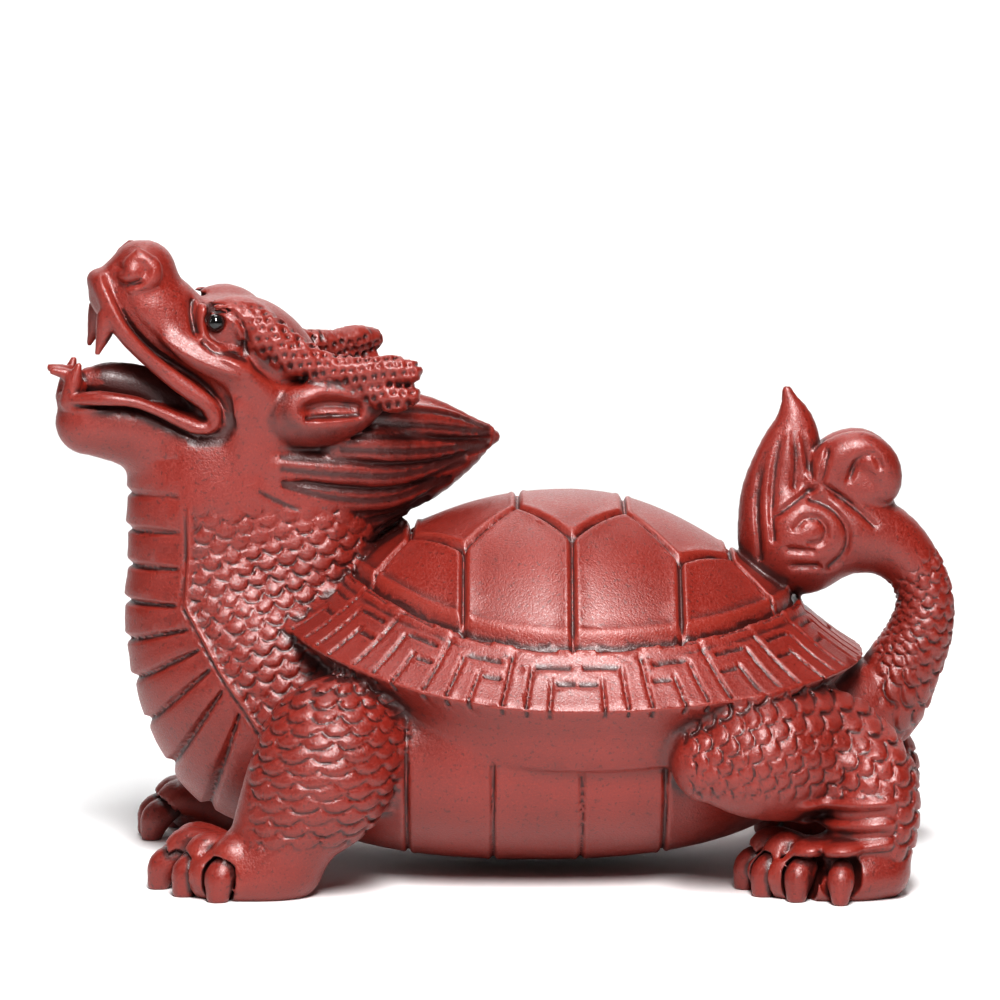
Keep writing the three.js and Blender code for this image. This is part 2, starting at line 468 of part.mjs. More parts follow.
// The surface of a distance field, as triangles between the points of a grid. Each cube is parted into
// six four-cornered cells along its long diagonal, so the surface closes without gaps.
const CELLS = 176; // grid cubes along the length
const BLOCK = 6; // cubes along the side of a block that is passed over whole
const BLOCK_REACH = 3; // half sides of a block from its middle beyond which it holds no surface
const EDGE_MARGIN = 0.08; // share of a cube's edge that a crossing keeps from its ends
const CORNERS = [0, 1, 3, 2, 4, 5, 7, 6].map((c) => [c & 1, (c >> 1) & 1, c >> 2]);
const WEDGES = [[0, 1, 2, 6], [0, 2, 3, 6], [0, 3, 7, 6], [0, 7, 4, 6], [0, 4, 5, 6], [0, 5, 1, 6]];
function surface(field, low, high) {
  const cell = PARTS / CELLS;
  const size = low.map((v, i) => Math.ceil((high[i] - v) / cell / BLOCK) * BLOCK + 1);
  const index = (i, j, k) => i + size[0] * (j + size[1] * k);
  const values = new Float32Array(size[0] * size[1] * size[2]).fill(NaN);
  const place = (n) => {
    const i = n % size[0];
    const j = Math.floor(n / size[0]) % size[1];
    const k = Math.floor(n / size[0] / size[1]);
    return [low[0] + i * cell, low[1] + j * cell, low[2] + k * cell];
  };
  const value = (n) => {
    if (Number.isNaN(values[n])) values[n] = field(...place(n)) || 1e-6;
    return values[n];
  };
  const vertices = [];
  const faces = [];
  const onEdge = new Map();
  const crossing = (a, b) => {
    const key = a < b ? a * values.length + b : b * values.length + a;
    if (!onEdge.has(key)) {
      const [p, q] = a < b ? [a, b] : [b, a];
      const share = clamp(values[p] / (values[p] - values[q]), EDGE_MARGIN, 1 - EDGE_MARGIN);
      const from = place(p);
      const to = place(q);
      onEdge.set(key, vertices.push(from.map((v, i) => v + (to[i] - v) * share)) - 1);
    }
    return onEdge.get(key);
  };
  const lay = (a, b, c, inner, outer) => {
    const [p, q, r] = [vertices[a], vertices[b], vertices[c]];
    const u = [q[0] - p[0], q[1] - p[1], q[2] - p[2]];
    const v = [r[0] - p[0], r[1] - p[1], r[2] - p[2]];
    const n = [u[1] * v[2] - u[2] * v[1], u[2] * v[0] - u[0] * v[2], u[0] * v[1] - u[1] * v[0]];
    const from = place(inner);
    const to = place(outer);
    const facing = n[0] * (to[0] - from[0]) + n[1] * (to[1] - from[1]) + n[2] * (to[2] - from[2]);
    faces.push(facing > 0 ? [a, b, c] : [a, c, b]);
  };
  const wedge = (corners) => {
    const inside = corners.filter((n) => value(n) < 0);
    const outside = corners.filter((n) => value(n) >= 0);
    if (inside.length === 1) {
      lay(...outside.map((n) => crossing(inside[0], n)), inside[0], outside[0]);
    } else if (inside.length === 3) {
      lay(...inside.map((n) => crossing(n, outside[0])), inside[0], outside[0]);
    } else if (inside.length === 2) {
      const [a, b] = inside;
      const [c, e] = outside;
      lay(crossing(a, c), crossing(a, e), crossing(b, e), a, c);
      lay(crossing(a, c), crossing(b, e), crossing(b, c), b, c);
    }
  };
  const half = (BLOCK * cell) / 2;
  for (let k = 0; k < size[2] - 1; k += BLOCK)
    for (let j = 0; j < size[1] - 1; j += BLOCK)
      for (let i = 0; i < size[0] - 1; i += BLOCK) {
        const [x, y, z] = place(index(i, j, k));
        if (Math.abs(field(x + half, y + half, z + half)) > half * BLOCK_REACH) continue;
        for (let n = 0; n < BLOCK ** 3; n++) {
          const at = [i + (n % BLOCK), j + (Math.floor(n / BLOCK) % BLOCK), k + Math.floor(n / BLOCK ** 2)];
          const cube = CORNERS.map(([a, b, c]) => index(at[0] + a, at[1] + b, at[2] + c));
          const below = cube.filter((corner) => value(corner) < 0).length;
          if (below > 0 && below < cube.length) WEDGES.forEach((w) => wedge(w.map((c) => cube[c])));
        }
      }
  return { vertices, faces };
}

// Fewer faces: short and flat edges close up first, and each close-up keeps the surface whole. The
// cost of a place is its squared distance from the planes of all the faces it stands for, kept as the
// ten terms of a symmetric form for each vertex.
const TERMS = 10;
const STRAY_COST = 1e-5; // added for each squared length of edge, so that flat places stay even
const LEAST_TURN = 0.25; // cosine of the most that a face may turn as an edge closes up
const LEAST_AREA = 1e-3;
function fewerFaces({ vertices, faces }, target) {
  const spot = new Float64Array(vertices.flat());
  const form = new Float64Array(vertices.length * TERMS);
  const around = vertices.map(() => []);
  const normal = (ax, ay, az, bx, by, bz, cx, cy, cz, out) => {
    const [ux, uy, uz, vx, vy, vz] = [bx - ax, by - ay, bz - az, cx - ax, cy - ay, cz - az];
    out[0] = uy * vz - uz * vy;
    out[1] = uz * vx - ux * vz;
    out[2] = ux * vy - uy * vx;
    return Math.sqrt(out[0] * out[0] + out[1] * out[1] + out[2] * out[2]);
  };
  const corner = (v) => [spot[3 * v], spot[3 * v + 1], spot[3 * v + 2]];
  const n = [0, 0, 0];
  faces.forEach((face, f) => {
    const [ax, ay, az] = corner(face[0]);
    const area = normal(ax, ay, az, ...corner(face[1]), ...corner(face[2]), n) || LEAST_AREA;
    const [x, y, z] = [n[0] / area, n[1] / area, n[2] / area];
    const w = -(x * ax + y * ay + z * az);
    const terms = [x * x, x * y, x * z, x * w, y * y, y * z, y * w, z * z, z * w, w * w];
    for (const v of face) {
      around[v].push(f);
      for (let i = 0; i < TERMS; i++) form[TERMS * v + i] += terms[i] * area;
    }
  });
  const q = new Float64Array(TERMS);
  const cost = (x, y, z) =>
    q[0] * x * x + q[4] * y * y + q[7] * z * z + q[9] +
    2 * (q[1] * x * y + q[2] * x * z + q[3] * x + q[5] * y * z + q[6] * y + q[8] * z);
  const offer = (a, b) => {
    for (let i = 0; i < TERMS; i++) q[i] = form[TERMS * a + i] + form[TERMS * b + i];
    const [ax, ay, az] = [spot[3 * a], spot[3 * a + 1], spot[3 * a + 2]];
    const [bx, by, bz] = [spot[3 * b], spot[3 * b + 1], spot[3 * b + 2]];
    const [mx, my, mz] = [(ax + bx) / 2, (ay + by) / 2, (az + bz) / 2];
    const span = Math.sqrt((ax - bx) ** 2 + (ay - by) ** 2 + (az - bz) ** 2);
    const c0 = q[4] * q[7] - q[5] * q[5];
    const c1 = q[2] * q[5] - q[1] * q[7];
    const c2 = q[1] * q[5] - q[2] * q[4];
    const det = q[0] * c0 + q[1] * c1 + q[2] * c2;
    let [x, y, z] = [mx, my, mz];
    let price = cost(x, y, z);
    const settle = (tx, ty, tz) => {
      const asked = cost(tx, ty, tz);
      if (asked < price) [x, y, z, price] = [tx, ty, tz, asked];
    };
    settle(ax, ay, az);
    settle(bx, by, bz);
    if (Math.abs(det) > 1e-9 * (q[0] + q[4] + q[7]) ** 3) {
      const c3 = q[0] * q[7] - q[2] * q[2];
      const c4 = q[1] * q[2] - q[0] * q[5];
      const c5 = q[0] * q[4] - q[1] * q[1];
      const tx = -(c0 * q[3] + c1 * q[6] + c2 * q[8]) / det;
      const ty = -(c1 * q[3] + c3 * q[6] + c4 * q[8]) / det;
      const tz = -(c2 * q[3] + c4 * q[6] + c5 * q[8]) / det;
      if ((tx - mx) ** 2 + (ty - my) ** 2 + (tz - mz) ** 2 < span * span) settle(tx, ty, tz);
    }
    const strayed = Math.max(price, 0) + STRAY_COST * span * span;
    push({ price: strayed, a, b, x, y, z, age: age[a], other: age[b] });
  };
  // A heap of edges, cheapest first
  const heap = [];
  const push = (item) => {
    let i = heap.push(item) - 1;
    while (i > 0) {
      const up = (i - 1) >> 1;
      if (heap[up].price <= item.price) break;
      heap[i] = heap[up];
      i = up;
    }
    heap[i] = item;
  };
  const pop = () => {
    const top = heap[0];
    const last = heap.pop();
    let i = 0;
    while (heap.length) {
      let down = 2 * i + 1;
      if (down >= heap.length) break;
      if (down + 1 < heap.length && heap[down + 1].price < heap[down].price) down++;
      if (heap[down].price >= last.price) break;
      heap[i] = heap[down];
      i = down;
    }
    if (heap.length) heap[i] = last;
    return top;
  };
  const age = new Uint32Array(vertices.length);
  const neighbours = (v) => {
    const near = new Set(around[v].flatMap((f) => faces[f]));
    near.delete(v);
    return [...near];
  };
  for (const [a, b, c] of faces) {
    if (a < b) offer(a, b);
    if (b < c) offer(b, c);
    if (c < a) offer(c, a);
  }
  const after = [0, 0, 0];
  const turnsOver = (v, other, x, y, z) => {
    for (const f of around[v]) {
      const face = faces[f];
      if (face.includes(other)) continue;
      const first = face.indexOf(v);
      const second = corner(face[(first + 1) % 3]);
      const third = corner(face[(first + 2) % 3]);
      const before = normal(spot[3 * v], spot[3 * v + 1], spot[3 * v + 2], ...second, ...third, n);
      const area = normal(x, y, z, ...second, ...third, after);
      const dot = n[0] * after[0] + n[1] * after[1] + n[2] * after[2];
      if (area < LEAST_AREA || dot < LEAST_TURN * before * area) return true;
    }
    return false;
  };
  let left = faces.length;
  while (left > target && heap.length) {
    const { a, b, x, y, z, age: ageA, other: ageB } = pop();
    if (!around[a] || !around[b] || ageA !== age[a] || ageB !== age[b]) continue;
    const near = neighbours(a);
    const shared = neighbours(b).filter((m) => near.includes(m)).length;
    if (shared !== 2 || turnsOver(a, b, x, y, z) || turnsOver(b, a, x, y, z)) continue;
    for (const f of around[b]) {
      if (faces[f].includes(a)) {
        for (const m of faces[f].filter((m) => m !== b)) around[m] = around[m].filter((g) => g !== f);
        faces[f] = null;
        left--;
      } else {
        faces[f] = faces[f].map((m) => (m === b ? a : m));
        around[a].push(f);
      }
    }
    around[b] = null;
    spot.set([x, y, z], 3 * a);
    for (let i = 0; i < TERMS; i++) form[TERMS * a + i] += form[TERMS * b + i];
    age[a] += 1;
    for (const m of neighbours(a)) offer(a, m);
  }
  return { vertices: vertices.map((_, v) => corner(v)), faces: faces.filter(Boolean) };
}

// Triangles to a solid and back
const wasm = await Module();
wasm.setup();
function geometryOf({ vertices, faces }, scale) {
  const geometry = new THREE.BufferGeometry();
  const spots = vertices.flatMap((v) => v.map((c) => c * scale));
  geometry.setAttribute("position", new THREE.Float32BufferAttribute(spots, 3));
  geometry.setIndex(faces.flat());
  return geometry;
}
function solidOf(geometry) {
  const bare = geometry.clone();
  bare.deleteAttribute("normal");
  bare.deleteAttribute("uv");
  const merged = mergeVertices(bare, 1e-4);
  return new wasm.Manifold(
    new wasm.Mesh({
      numProp: 3,
      vertProperties: new Float32Array(merged.attributes.position.array),
      triVerts: new Uint32Array(merged.index.array),
    }),
  );
}
function meshGeometry(solid) {
  const { vertProperties, triVerts, numProp } = solid.getMesh();
  const spots = [];
  for (let i = 0; i < vertProperties.length; i += numProp) {
    spots.push(vertProperties[i], vertProperties[i + 1], vertProperties[i + 2]);
  }
  const geometry = new THREE.BufferGeometry();
  geometry.setAttribute("position", new THREE.Float32BufferAttribute(spots, 3));
  geometry.setIndex(Array.from(triVerts));
  return geometry;
}

// The key fret, cut into the skirt in straight strokes: nested angles between uprights. A stroke's ends
// are in shares of a motif along the skirt and in shares of the skirt's width from the dome's foot out.
const FRET_MOTIF = [
  [[0, 0.14], [0, 0.84]],
  [[0.26, 0.3], [0.7, 0.3]],
  [[0.7, 0.3], [0.7, 0.84]],
  [[0.34, 0.56], [0.34, 0.84]],
];
const RIM_POINTS = 120;
const SKIRT_RIM = new THREE.CatmullRomCurve3(
  Array.from({ length: RIM_POINTS }, (_, i) => {
    const turn = (2 * Math.PI * i) / RIM_POINTS;
    const [x, y] = [SKIRT.half * Math.cos(turn), SKIRT.side * Math.sin(turn)];
    const reach = ovalReach(SKIRT, SHELL_MIDDLE + x, y);
    return new THREE.Vector3(SHELL_MIDDLE + x / reach, y / reach, 0);
  }),
  true,
);
function skirtPoint(turn, out) {
  const rim = SKIRT_RIM.getPointAt((turn + 1) % 1);
  const beyond = ovalReach(DOME, rim.x, rim.y);
  const share = 1 / (beyond - out * (beyond - 1));
  const x = SHELL_MIDDLE + (rim.x - SHELL_MIDDLE) * share;
  const y = rim.y * share;
  const z = FOOT_HEIGHT + (RIM_HEIGHT - FOOT_HEIGHT) * out + shellPlace(x, y).lift;
  return new THREE.Vector3(x, y, z);
}
function fretStroke([turnA, outA], [turnB, outB]) {
  const from = skirtPoint(turnA, outA).multiplyScalar(PART);
  const to = skirtPoint(turnB, outB).multiplyScalar(PART);
  const run = to.clone().sub(from);
  const slope = skirtPoint(turnA, 1).sub(skirtPoint(turnA, 0));
  const level = skirtPoint(turnA + 0.5 / FRET_UNITS, outA).sub(skirtPoint(turnA, outA));
  const away = slope.cross(level).normalize();
  const along = run.clone().normalize();
  const across = away.clone().cross(along).normalize();
  const up = along.clone().cross(across);
  const stroke = new THREE.BoxGeometry(run.length() + FRET_WIDTH, FRET_WIDTH, 2 * FRET_DEPTH);
  const place = new THREE.Matrix4().makeBasis(along, across, up);
  return stroke.applyMatrix4(place.setPosition(from.add(to).divideScalar(2)));
}
function fret() {
  const strokes = [];
  for (let unit = 0; unit < FRET_UNITS; unit++) {
    for (const ends of FRET_MOTIF) {
      const [a, b] = ends.map(([along, out]) => [(unit + along) / FRET_UNITS, out]);
      strokes.push(solidOf(fretStroke(a, b)));
    }
  }
  return strokes.reduce((joined, stroke) => joined.add(stroke));
}

// A ball in one of the two eyes, in millimetres
const BEAD_AT = [-1.7, 7.3, 18.4]; // in the head's frame
const BEAD_SIDES = 10;
const BEAD_RINGS = 6;
const eyePlace = (side) =>
  new THREE.Vector3(BEAD_AT[0], side * BEAD_AT[1], BEAD_AT[2])
    .applyMatrix4(HEAD_FRAME)
    .multiplyScalar(PART);
const eyeBall = (radius) => new THREE.SphereGeometry(radius, BEAD_SIDES, BEAD_RINGS);
function eyeSocket(side) {
  const ball = eyeBall(EYE_BEAD_DIAMETER / 2 + EYE_BEAD_GAP);
  return solidOf(ball.translate(...eyePlace(side).toArray()));
}

// The clay body, with its soles rubbed flat
const BOUNDS = { low: [-64, -40, -4], high: [64, 40, 88] }; // a box that holds the figure, in parts
function clayBody() {
  const rough = surface(figure, BOUNDS.low, BOUNDS.high);
  const dense = fewerFaces(rough, TRIANGLES);
  const ground = new THREE.BoxGeometry(2 * LENGTH, 2 * LENGTH, LENGTH);
  ground.translate(0, 0, -LENGTH / 2);
  const cuts = [solidOf(ground), fret(), eyeSocket(-1), eyeSocket(1)];
  const whole = cuts.reduce((left, cut) => left.subtract(cut), solidOf(geometryOf(dense, PART)));
  const largest = whole.decompose().sort((a, b) => b.volume() - a.volume())[0];
  return meshGeometry(largest);
}

const CLAY = new THREE.MeshStandardMaterial({ color: 0x8f3a2c, roughness: 0.62, metalness: 0 });
const BEAD_GLOSS = new THREE.MeshStandardMaterial({ color: 0x050505, roughness: 0.08, metalness: 0 });

function eyeBead(name, side) {
  const bead = new THREE.Mesh(eyeBall(EYE_BEAD_DIAMETER / 2), BEAD_GLOSS);
  bead.name = name;
  bead.position.copy(eyePlace(side));
  return bead;
}

const figureMesh = new THREE.Mesh(clayBody(), CLAY);
figureMesh.name = "dragon_turtle";
const group = new THREE.Group();
group.add(figureMesh, eyeBead("eye_bead_left", -1), eyeBead("eye_bead_right", 1));

// The origin is under the middle of the figure, on the surface it stands on.
const box = new THREE.Box3().setFromObject(group);
const middle = box.getCenter(new THREE.Vector3());
for (const mesh of group.children) {
  mesh.position.x -= middle.x;
  mesh.position.y -= middle.y;
}

export default group;
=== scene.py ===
# A dragon turtle figure in unglazed red stoneware clay. The clay is worked here as it is in the frame's
# model: coils and lumps are luted together as one distance field, and the carving is cut into that
# field before its surface is laid in triangles.
import math

import bpy
import numpy as np
import openvdb
from mathutils import Euler, Matrix, Vector


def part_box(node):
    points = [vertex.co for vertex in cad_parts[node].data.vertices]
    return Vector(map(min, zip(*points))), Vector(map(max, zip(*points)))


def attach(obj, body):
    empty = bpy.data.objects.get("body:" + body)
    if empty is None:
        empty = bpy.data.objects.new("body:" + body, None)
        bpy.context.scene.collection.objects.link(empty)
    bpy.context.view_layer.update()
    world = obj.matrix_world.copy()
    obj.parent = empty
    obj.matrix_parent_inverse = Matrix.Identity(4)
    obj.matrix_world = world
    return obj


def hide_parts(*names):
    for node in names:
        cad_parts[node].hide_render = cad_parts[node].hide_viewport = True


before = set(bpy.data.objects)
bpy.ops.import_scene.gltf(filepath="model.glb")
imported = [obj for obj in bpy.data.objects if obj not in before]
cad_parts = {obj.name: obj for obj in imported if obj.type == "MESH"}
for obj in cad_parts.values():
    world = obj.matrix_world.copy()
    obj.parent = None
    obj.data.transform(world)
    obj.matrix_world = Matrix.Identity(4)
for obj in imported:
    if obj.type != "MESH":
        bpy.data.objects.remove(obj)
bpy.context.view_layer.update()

# Driving sizes, mm, as the frame's model has them
SHELL_LENGTH = 77.0
SHELL_WIDTH = 63.0
DOME_MARGIN_FRONT = 9.2
DOME_MARGIN_SIDE = 5.8
EYE_BEAD_DIAMETER = 2.3
EYE_BEAD_GAP = 0.1
PLATE_PITCH = 4.8
HEAD_AT = (-38.0, 0.0, 55.0)
HEAD_YAW = math.radians(14)
HEAD_ROLL = math.radians(7)
STRIDE_FRONT = 4.6
STRIDE_REAR = -5.0

CELL = 0.26  # grid step of the clay's surface
COIL_STEPS = 4  # straight pieces between two stations of a coil, and of a drawn line
DRAWN_STEPS = 5
TRIANGLES = 196000
MM = 0.001
TINY = 1e-9  # keeps a division by nothing from failing


# Soft joins
def soft_min(a, b, k):
    h = np.maximum(k - np.abs(a - b), 0) / k
    return np.minimum(a, b) - h * h * k / 4


def soft_max(a, b, k):
    return -soft_min(-a, -b, k)


def smooth(x, start, end):
    t = np.clip((x - start) / (end - start), 0, 1)
    return t * t * (3 - 2 * t)


def between(x, start, full, fade, end):
    """1 from full to fade, with a soft fall to 0 at start and end."""
    return smooth(x, start, full) * (1 - smooth(x, fade, end))


def groove(distance, width):
    return np.maximum(1 - (distance / width) ** 2, 0) ** 2


class Block:
    """Points within a radius of a centre. No distance above the limit is of use in them."""

    def __init__(self, x, y, z, centre, radius, limit=math.inf):
        self.x, self.y, self.z = x, y, z
        self.centre, self.radius, self.limit = centre, radius, limit

    def mirrored(self):
        cx, cy, cz = self.centre
        return Block(self.x, np.abs(self.y), self.z, (cx, abs(cy), cz), self.radius, self.limit)

    def beyond(self, low, high):
        """The block's least distance from a box."""
        gap = [max(l - c, c - h, 0) for l, c, h in zip(low, self.centre, high)]
        return math.hypot(*gap) - self.radius


def hermite(a, b, slope_a, slope_b, t):
    rise = b - a
    square = 3 * rise - 2 * slope_a - slope_b
    cube = slope_a + slope_b - 2 * rise
    return a + slope_a * t + square * t**2 + cube * t**3


def curve_points(stations, steps, ends="free"):
    """Points on the smooth curve through the stations. Free ends run on as they came."""
    s = np.asarray(stations, float)
    if ends == "free":
        before, after = 2 * s[0] - s[1], 2 * s[-1] - s[-2]
    else:
        before, after = s[0], s[-1]
    s = np.vstack([before, s, after])
    t = np.arange(steps)[:, None] / steps
    rows = [
        hermite(s[i], s[i + 1], (s[i + 1] - s[i - 1]) / 2, (s[i + 2] - s[i]) / 2, t)
        for i in range(1, len(s) - 2)
    ]
    return np.vstack(rows + [s[-2:-1]])


class Coil:
    """A coil of clay through [x, y, z, radius] stations, pressed flat along Y."""

    def __init__(self, stations, flat=1.0):
        s = np.asarray(stations, float)
        spine = curve_points(s[:, :3], COIL_STEPS)
        radius = curve_points(s[:, 3:], COIL_STEPS, "held")
        self.a, self.b = spine[:-1], spine[1:]
        self.ra, self.rb = radius[:-1, 0], radius[1:, 0]
        self.run = self.b - self.a
        self.span = np.maximum((self.run**2).sum(1), TINY)
        self.flat = flat
        low = (spine - radius).min(0)
        high = (spine + radius).max(0)
        self.centre = tuple((low + high) / 2)
        self.reach = float(np.linalg.norm(high - low)) / 2

    def near(self, b, limit):
        """The steps of the coil that can lie nearest to a point of the block."""
        if math.dist(b.centre, self.centre) - self.reach - b.radius > limit:
            return []
        v = np.asarray(b.centre) - self.a
        t = np.clip((v * self.run).sum(1) / self.span, 0, 1)
        off = v - self.run * t[:, None]
        plain = np.sqrt((off**2).sum(1)) - self.ra - (self.rb - self.ra) * t
        off[:, 1] /= self.flat
        d = np.sqrt((off**2).sum(1)) - self.ra - (self.rb - self.ra) * t
        slack = b.radius / self.flat
        if min(plain.min(), d.min() * self.flat) - b.radius > limit:
            return []
        return np.nonzero(d - slack <= d.min() + slack)[0]

    def at(self, b, limit=math.inf):
        best = None
        for i in self.near(b, limit):
            vx, vy, vz = b.x - self.a[i, 0], b.y - self.a[i, 1], b.z - self.a[i, 2]
            ux, uy, uz = self.run[i]
            t = np.clip((vx * ux + vy * uy + vz * uz) / self.span[i], 0, 1)
            vx = vx - ux * t
            vy = (vy - uy * t) / self.flat
            vz = vz - uz * t
            d = np.sqrt(vx * vx + vy * vy + vz * vz) - self.ra[i] - (self.rb[i] - self.ra[i]) * t
            best = d if best is None else np.minimum(best, d)
        return None if best is None else np.where(best > 0, best * self.flat, best)


CARVING_REACH = 1.8
MARGIN = 1.0  # round the surface, where the field is kept true


def skinned(d, b, carving):
    """Cuts into a shape by the depth that the carving gives, worked out where the surface is near."""
    if d is None or float(np.abs(d).min()) > CARVING_REACH:
        return d
    return d + np.where(np.abs(d) < CARVING_REACH, carving(b), 0)


class Lump:
    """An ellipsoid, tipped about Y and turned about Z."""

    def __init__(self, centre, radii, tip=0.0, turn=0.0):
        self.centre = tuple(centre)
        self.radii = radii
        self.reach = max(radii)
        self.axes = np.array((Matrix.Rotation(turn, 3, "Z") @ Matrix.Rotation(-tip, 3, "Y")).transposed())

    def at(self, b, limit=math.inf):
        if math.dist(b.centre, self.centre) - self.reach - b.radius > limit:
            return None
        px, py, pz = b.x - self.centre[0], b.y - self.centre[1], b.z - self.centre[2]
        q = [(m[0] * px + m[1] * py + m[2] * pz) / r for m, r in zip(self.axes, self.radii)]
        near = np.sqrt(q[0] ** 2 + q[1] ** 2 + q[2] ** 2)
        slope = np.sqrt(sum((v / r) ** 2 for v, r in zip(q, self.radii)))
        return near * (near - 1) / np.maximum(slope, TINY)


# Steps of the work: each takes the distances so far and a block, and gives the new distances.
def add(shape, blend, carving=None):
    def step(d, b):
        limit = b.limit if d is None else min(b.limit, float(d.max()))
        other = shape.at(b, limit + blend)
        if carving is not None:
            other = skinned(other, b, carving)
        if other is None:
            return d
        return other if d is None else soft_min(d, other, blend)

    return step


def cut(shape, blend):
    def step(d, b):
        other = None if d is None else shape.at(b, blend - float(d.min()))
        return d if other is None else soft_max(d, -other, blend)

    return step


def press(stations, width, depth):
    """A line pressed into the clay, or with a negative depth a fine roll laid on it."""
    line = Coil([(*s[:3], 0.0) for s in stations])

    def step(d, b):
        if d is None or float(np.abs(d).min()) > 2 * width:
            return d
        off = line.at(b, width)
        return d if off is None else d + depth * groove(off, width)

    return step


def work(steps, b, d=None):
    for step in steps:
        d = step(d, b)
    return d


class Lines:
    """Strokes through points of a plane. Only the steps that can be nearest to a block are measured."""

    def __init__(self, strokes):
        paths = [np.asarray(stroke, float) for stroke in strokes]
        self.a = np.vstack([path[:-1] for path in paths])
        self.run = np.vstack([np.diff(path, axis=0) for path in paths])
        self.span = np.maximum((self.run**2).sum(1), TINY)

    def at(self, u, v, limit=math.inf):
        low_u, high_u, low_v, high_v = (float(f) for f in (u.min(), u.max(), v.min(), v.max()))
        middle = np.array(((low_u + high_u) / 2, (low_v + high_v) / 2))
        radius = math.hypot(high_u - low_u, high_v - low_v) / 2
        off = middle - self.a
        t = np.clip((off * self.run).sum(1) / self.span, 0, 1)
        d = np.sqrt(((off - self.run * t[:, None]) ** 2).sum(1))
        if float(d.min()) - radius > limit:
            return None
        best = None
        for i in np.nonzero(d - radius <= d.min() + radius)[0]:
            (au, av), (eu, ev) = self.a[i].tolist(), self.run[i].tolist()
            pu, pv = u - au, v - av
            share = np.clip((pu * eu + pv * ev) / float(self.span[i]), 0, 1)
            pu = pu - eu * share
            pv = pv - ev * share
            square = pu * pu + pv * pv
            best = square if best is None else np.minimum(best, square)
        return np.sqrt(best)


def drawn(curves):
    return Lines([curve_points(curve, DRAWN_STEPS) for curve in curves])


def within(outline, u, v):
    """Which points of the plane an outline goes round."""
    inside = np.zeros(np.shape(u), bool)
    for i, (au, av) in enumerate(outline):
        bu, bv = outline[i - 1]
        if av != bv:
            crosses = (av > v) != (bv > v)
            inside ^= crosses & (u < au + (bu - au) * (v - av) / (bv - av))
    return inside


# Carving: each function gives the depth of the cut at a block's points
LIP_PLACE = 0.8  # its way from the middle of a line and half its own width, in widths of the line
LIP_WIDTH = 0.45
CHANCE_TURNS = (12.9898, 78.233)
CHANCE_SPREAD = 43758.5453
ROW_SEED = 3


def incised(distance, width, depth, lip):
    """A cut line with clay thrown up along both its edges."""
    thrown_up = lip * groove(distance - width * LIP_PLACE, width * LIP_WIDTH)
    return depth * groove(distance, width / 2) - thrown_up


def chance(a, b):
    """A number from 0 to 1 for each pair of whole numbers, the same at every run."""
    return np.mod(np.sin(a * CHANCE_TURNS[0] + b * CHANCE_TURNS[1]) * CHANCE_SPREAD, 1)


SCALE_PITCH = 2.8
SCALE_ROW = 0.62  # from one row to the next, in pitches
SCALE_RADIUS = 0.47
SCALE_LINE = 0.62
SCALE_DEPTH = 0.42
SCALE_SWELL = 0.07
SCALE_CROWN = 4  # the power by which a scale falls off towards its edge
SCALE_ROOT = 0.25  # how much of its radius lies under the row above
ROW_STRAY = 0.16  # how far rows, scales, their sizes and their lines stray by chance, as shares
SCALE_STRAY = 0.12
SIZE_STRAY = 0.06
LINE_STRAY = 0.4
PIT_STRAY = 0.3


def scales(u, v, pitch):
    """Staggered rows of round scales across u, with their free edges towards greater v."""
    row = np.floor(v / (pitch * SCALE_ROW))
    down = v - row * pitch * SCALE_ROW
    stagger = 0.5 * np.mod(row, 2) + ROW_STRAY * chance(row, ROW_SEED)
    column = np.floor(u / pitch - stagger + 0.5)
    across = u - (column + stagger + SCALE_STRAY * (chance(row, column) - 0.5)) * pitch
    radius = pitch * (SCALE_RADIUS + SIZE_STRAY * (chance(column, row) - 0.5))
    reach = np.sqrt(across * across + down * down)
    fade = smooth(down, 0, radius * SCALE_ROOT)
    uneven = 1 - LINE_STRAY / 2 + LINE_STRAY * chance(row + column, column)
    line = groove(reach - radius, SCALE_LINE / 2) * uneven
    swell = np.where(reach < radius, 1 - (reach / radius) ** SCALE_CROWN, 0)
    return fade * (SCALE_DEPTH * line - SCALE_SWELL * swell)


def pits(u, v, pitch, radius, depth):
    """Small dents set close together."""
    row = np.floor(v / pitch)
    column = np.floor(u / pitch - 0.5 * np.mod(row, 2))
    middle_u = (column + 0.5 + 0.5 * np.mod(row, 2) + PIT_STRAY * (chance(row, column) - 0.5)) * pitch
    middle_v = (row + 0.5 + PIT_STRAY * (chance(column, row) - 0.5)) * pitch
    reach = np.sqrt((u - middle_u) ** 2 + (v - middle_v) ** 2)
    return depth * groove(reach, radius)


# The shell
SHELL_MIDDLE = 9.2
SKIRT = (SHELL_LENGTH / 2, SHELL_WIDTH / 2, 2.5)
DOME = (SKIRT[0] - DOME_MARGIN_FRONT, SKIRT[1] - DOME_MARGIN_SIDE, 2.1)
LIFT_FRONT = 8.6
LIFT_REAR = 4.2
FOOT_SHARE = 0.88
REAR_FALL = 1.7
FALL_PEAK = 4 / 27  # the greatest value of x * x * (1 - x)
RIM_HEIGHT = 24.4
TOP_HEIGHT = 49.6
FOOT_HEIGHT = 32.3
BAND_HEIGHT = 16.4
BAND_FLOOR = BAND_HEIGHT - 4
BAND_PROFILE = [  # how far in from the rim, and the height
    (12, BAND_FLOOR), (3.6, BAND_HEIGHT), (2.2, RIM_HEIGHT - 3.6), (0.7, RIM_HEIGHT - 1.2), (0, RIM_HEIGHT),
]
DOME_ROUNDNESS = 2.55
DOME_STEPS = 24


def oval_reach(oval, x, y):
    half, side, power = oval
    return (np.abs((x - SHELL_MIDDLE) / half) ** power + np.abs(y / side) ** power) ** (1 / power)


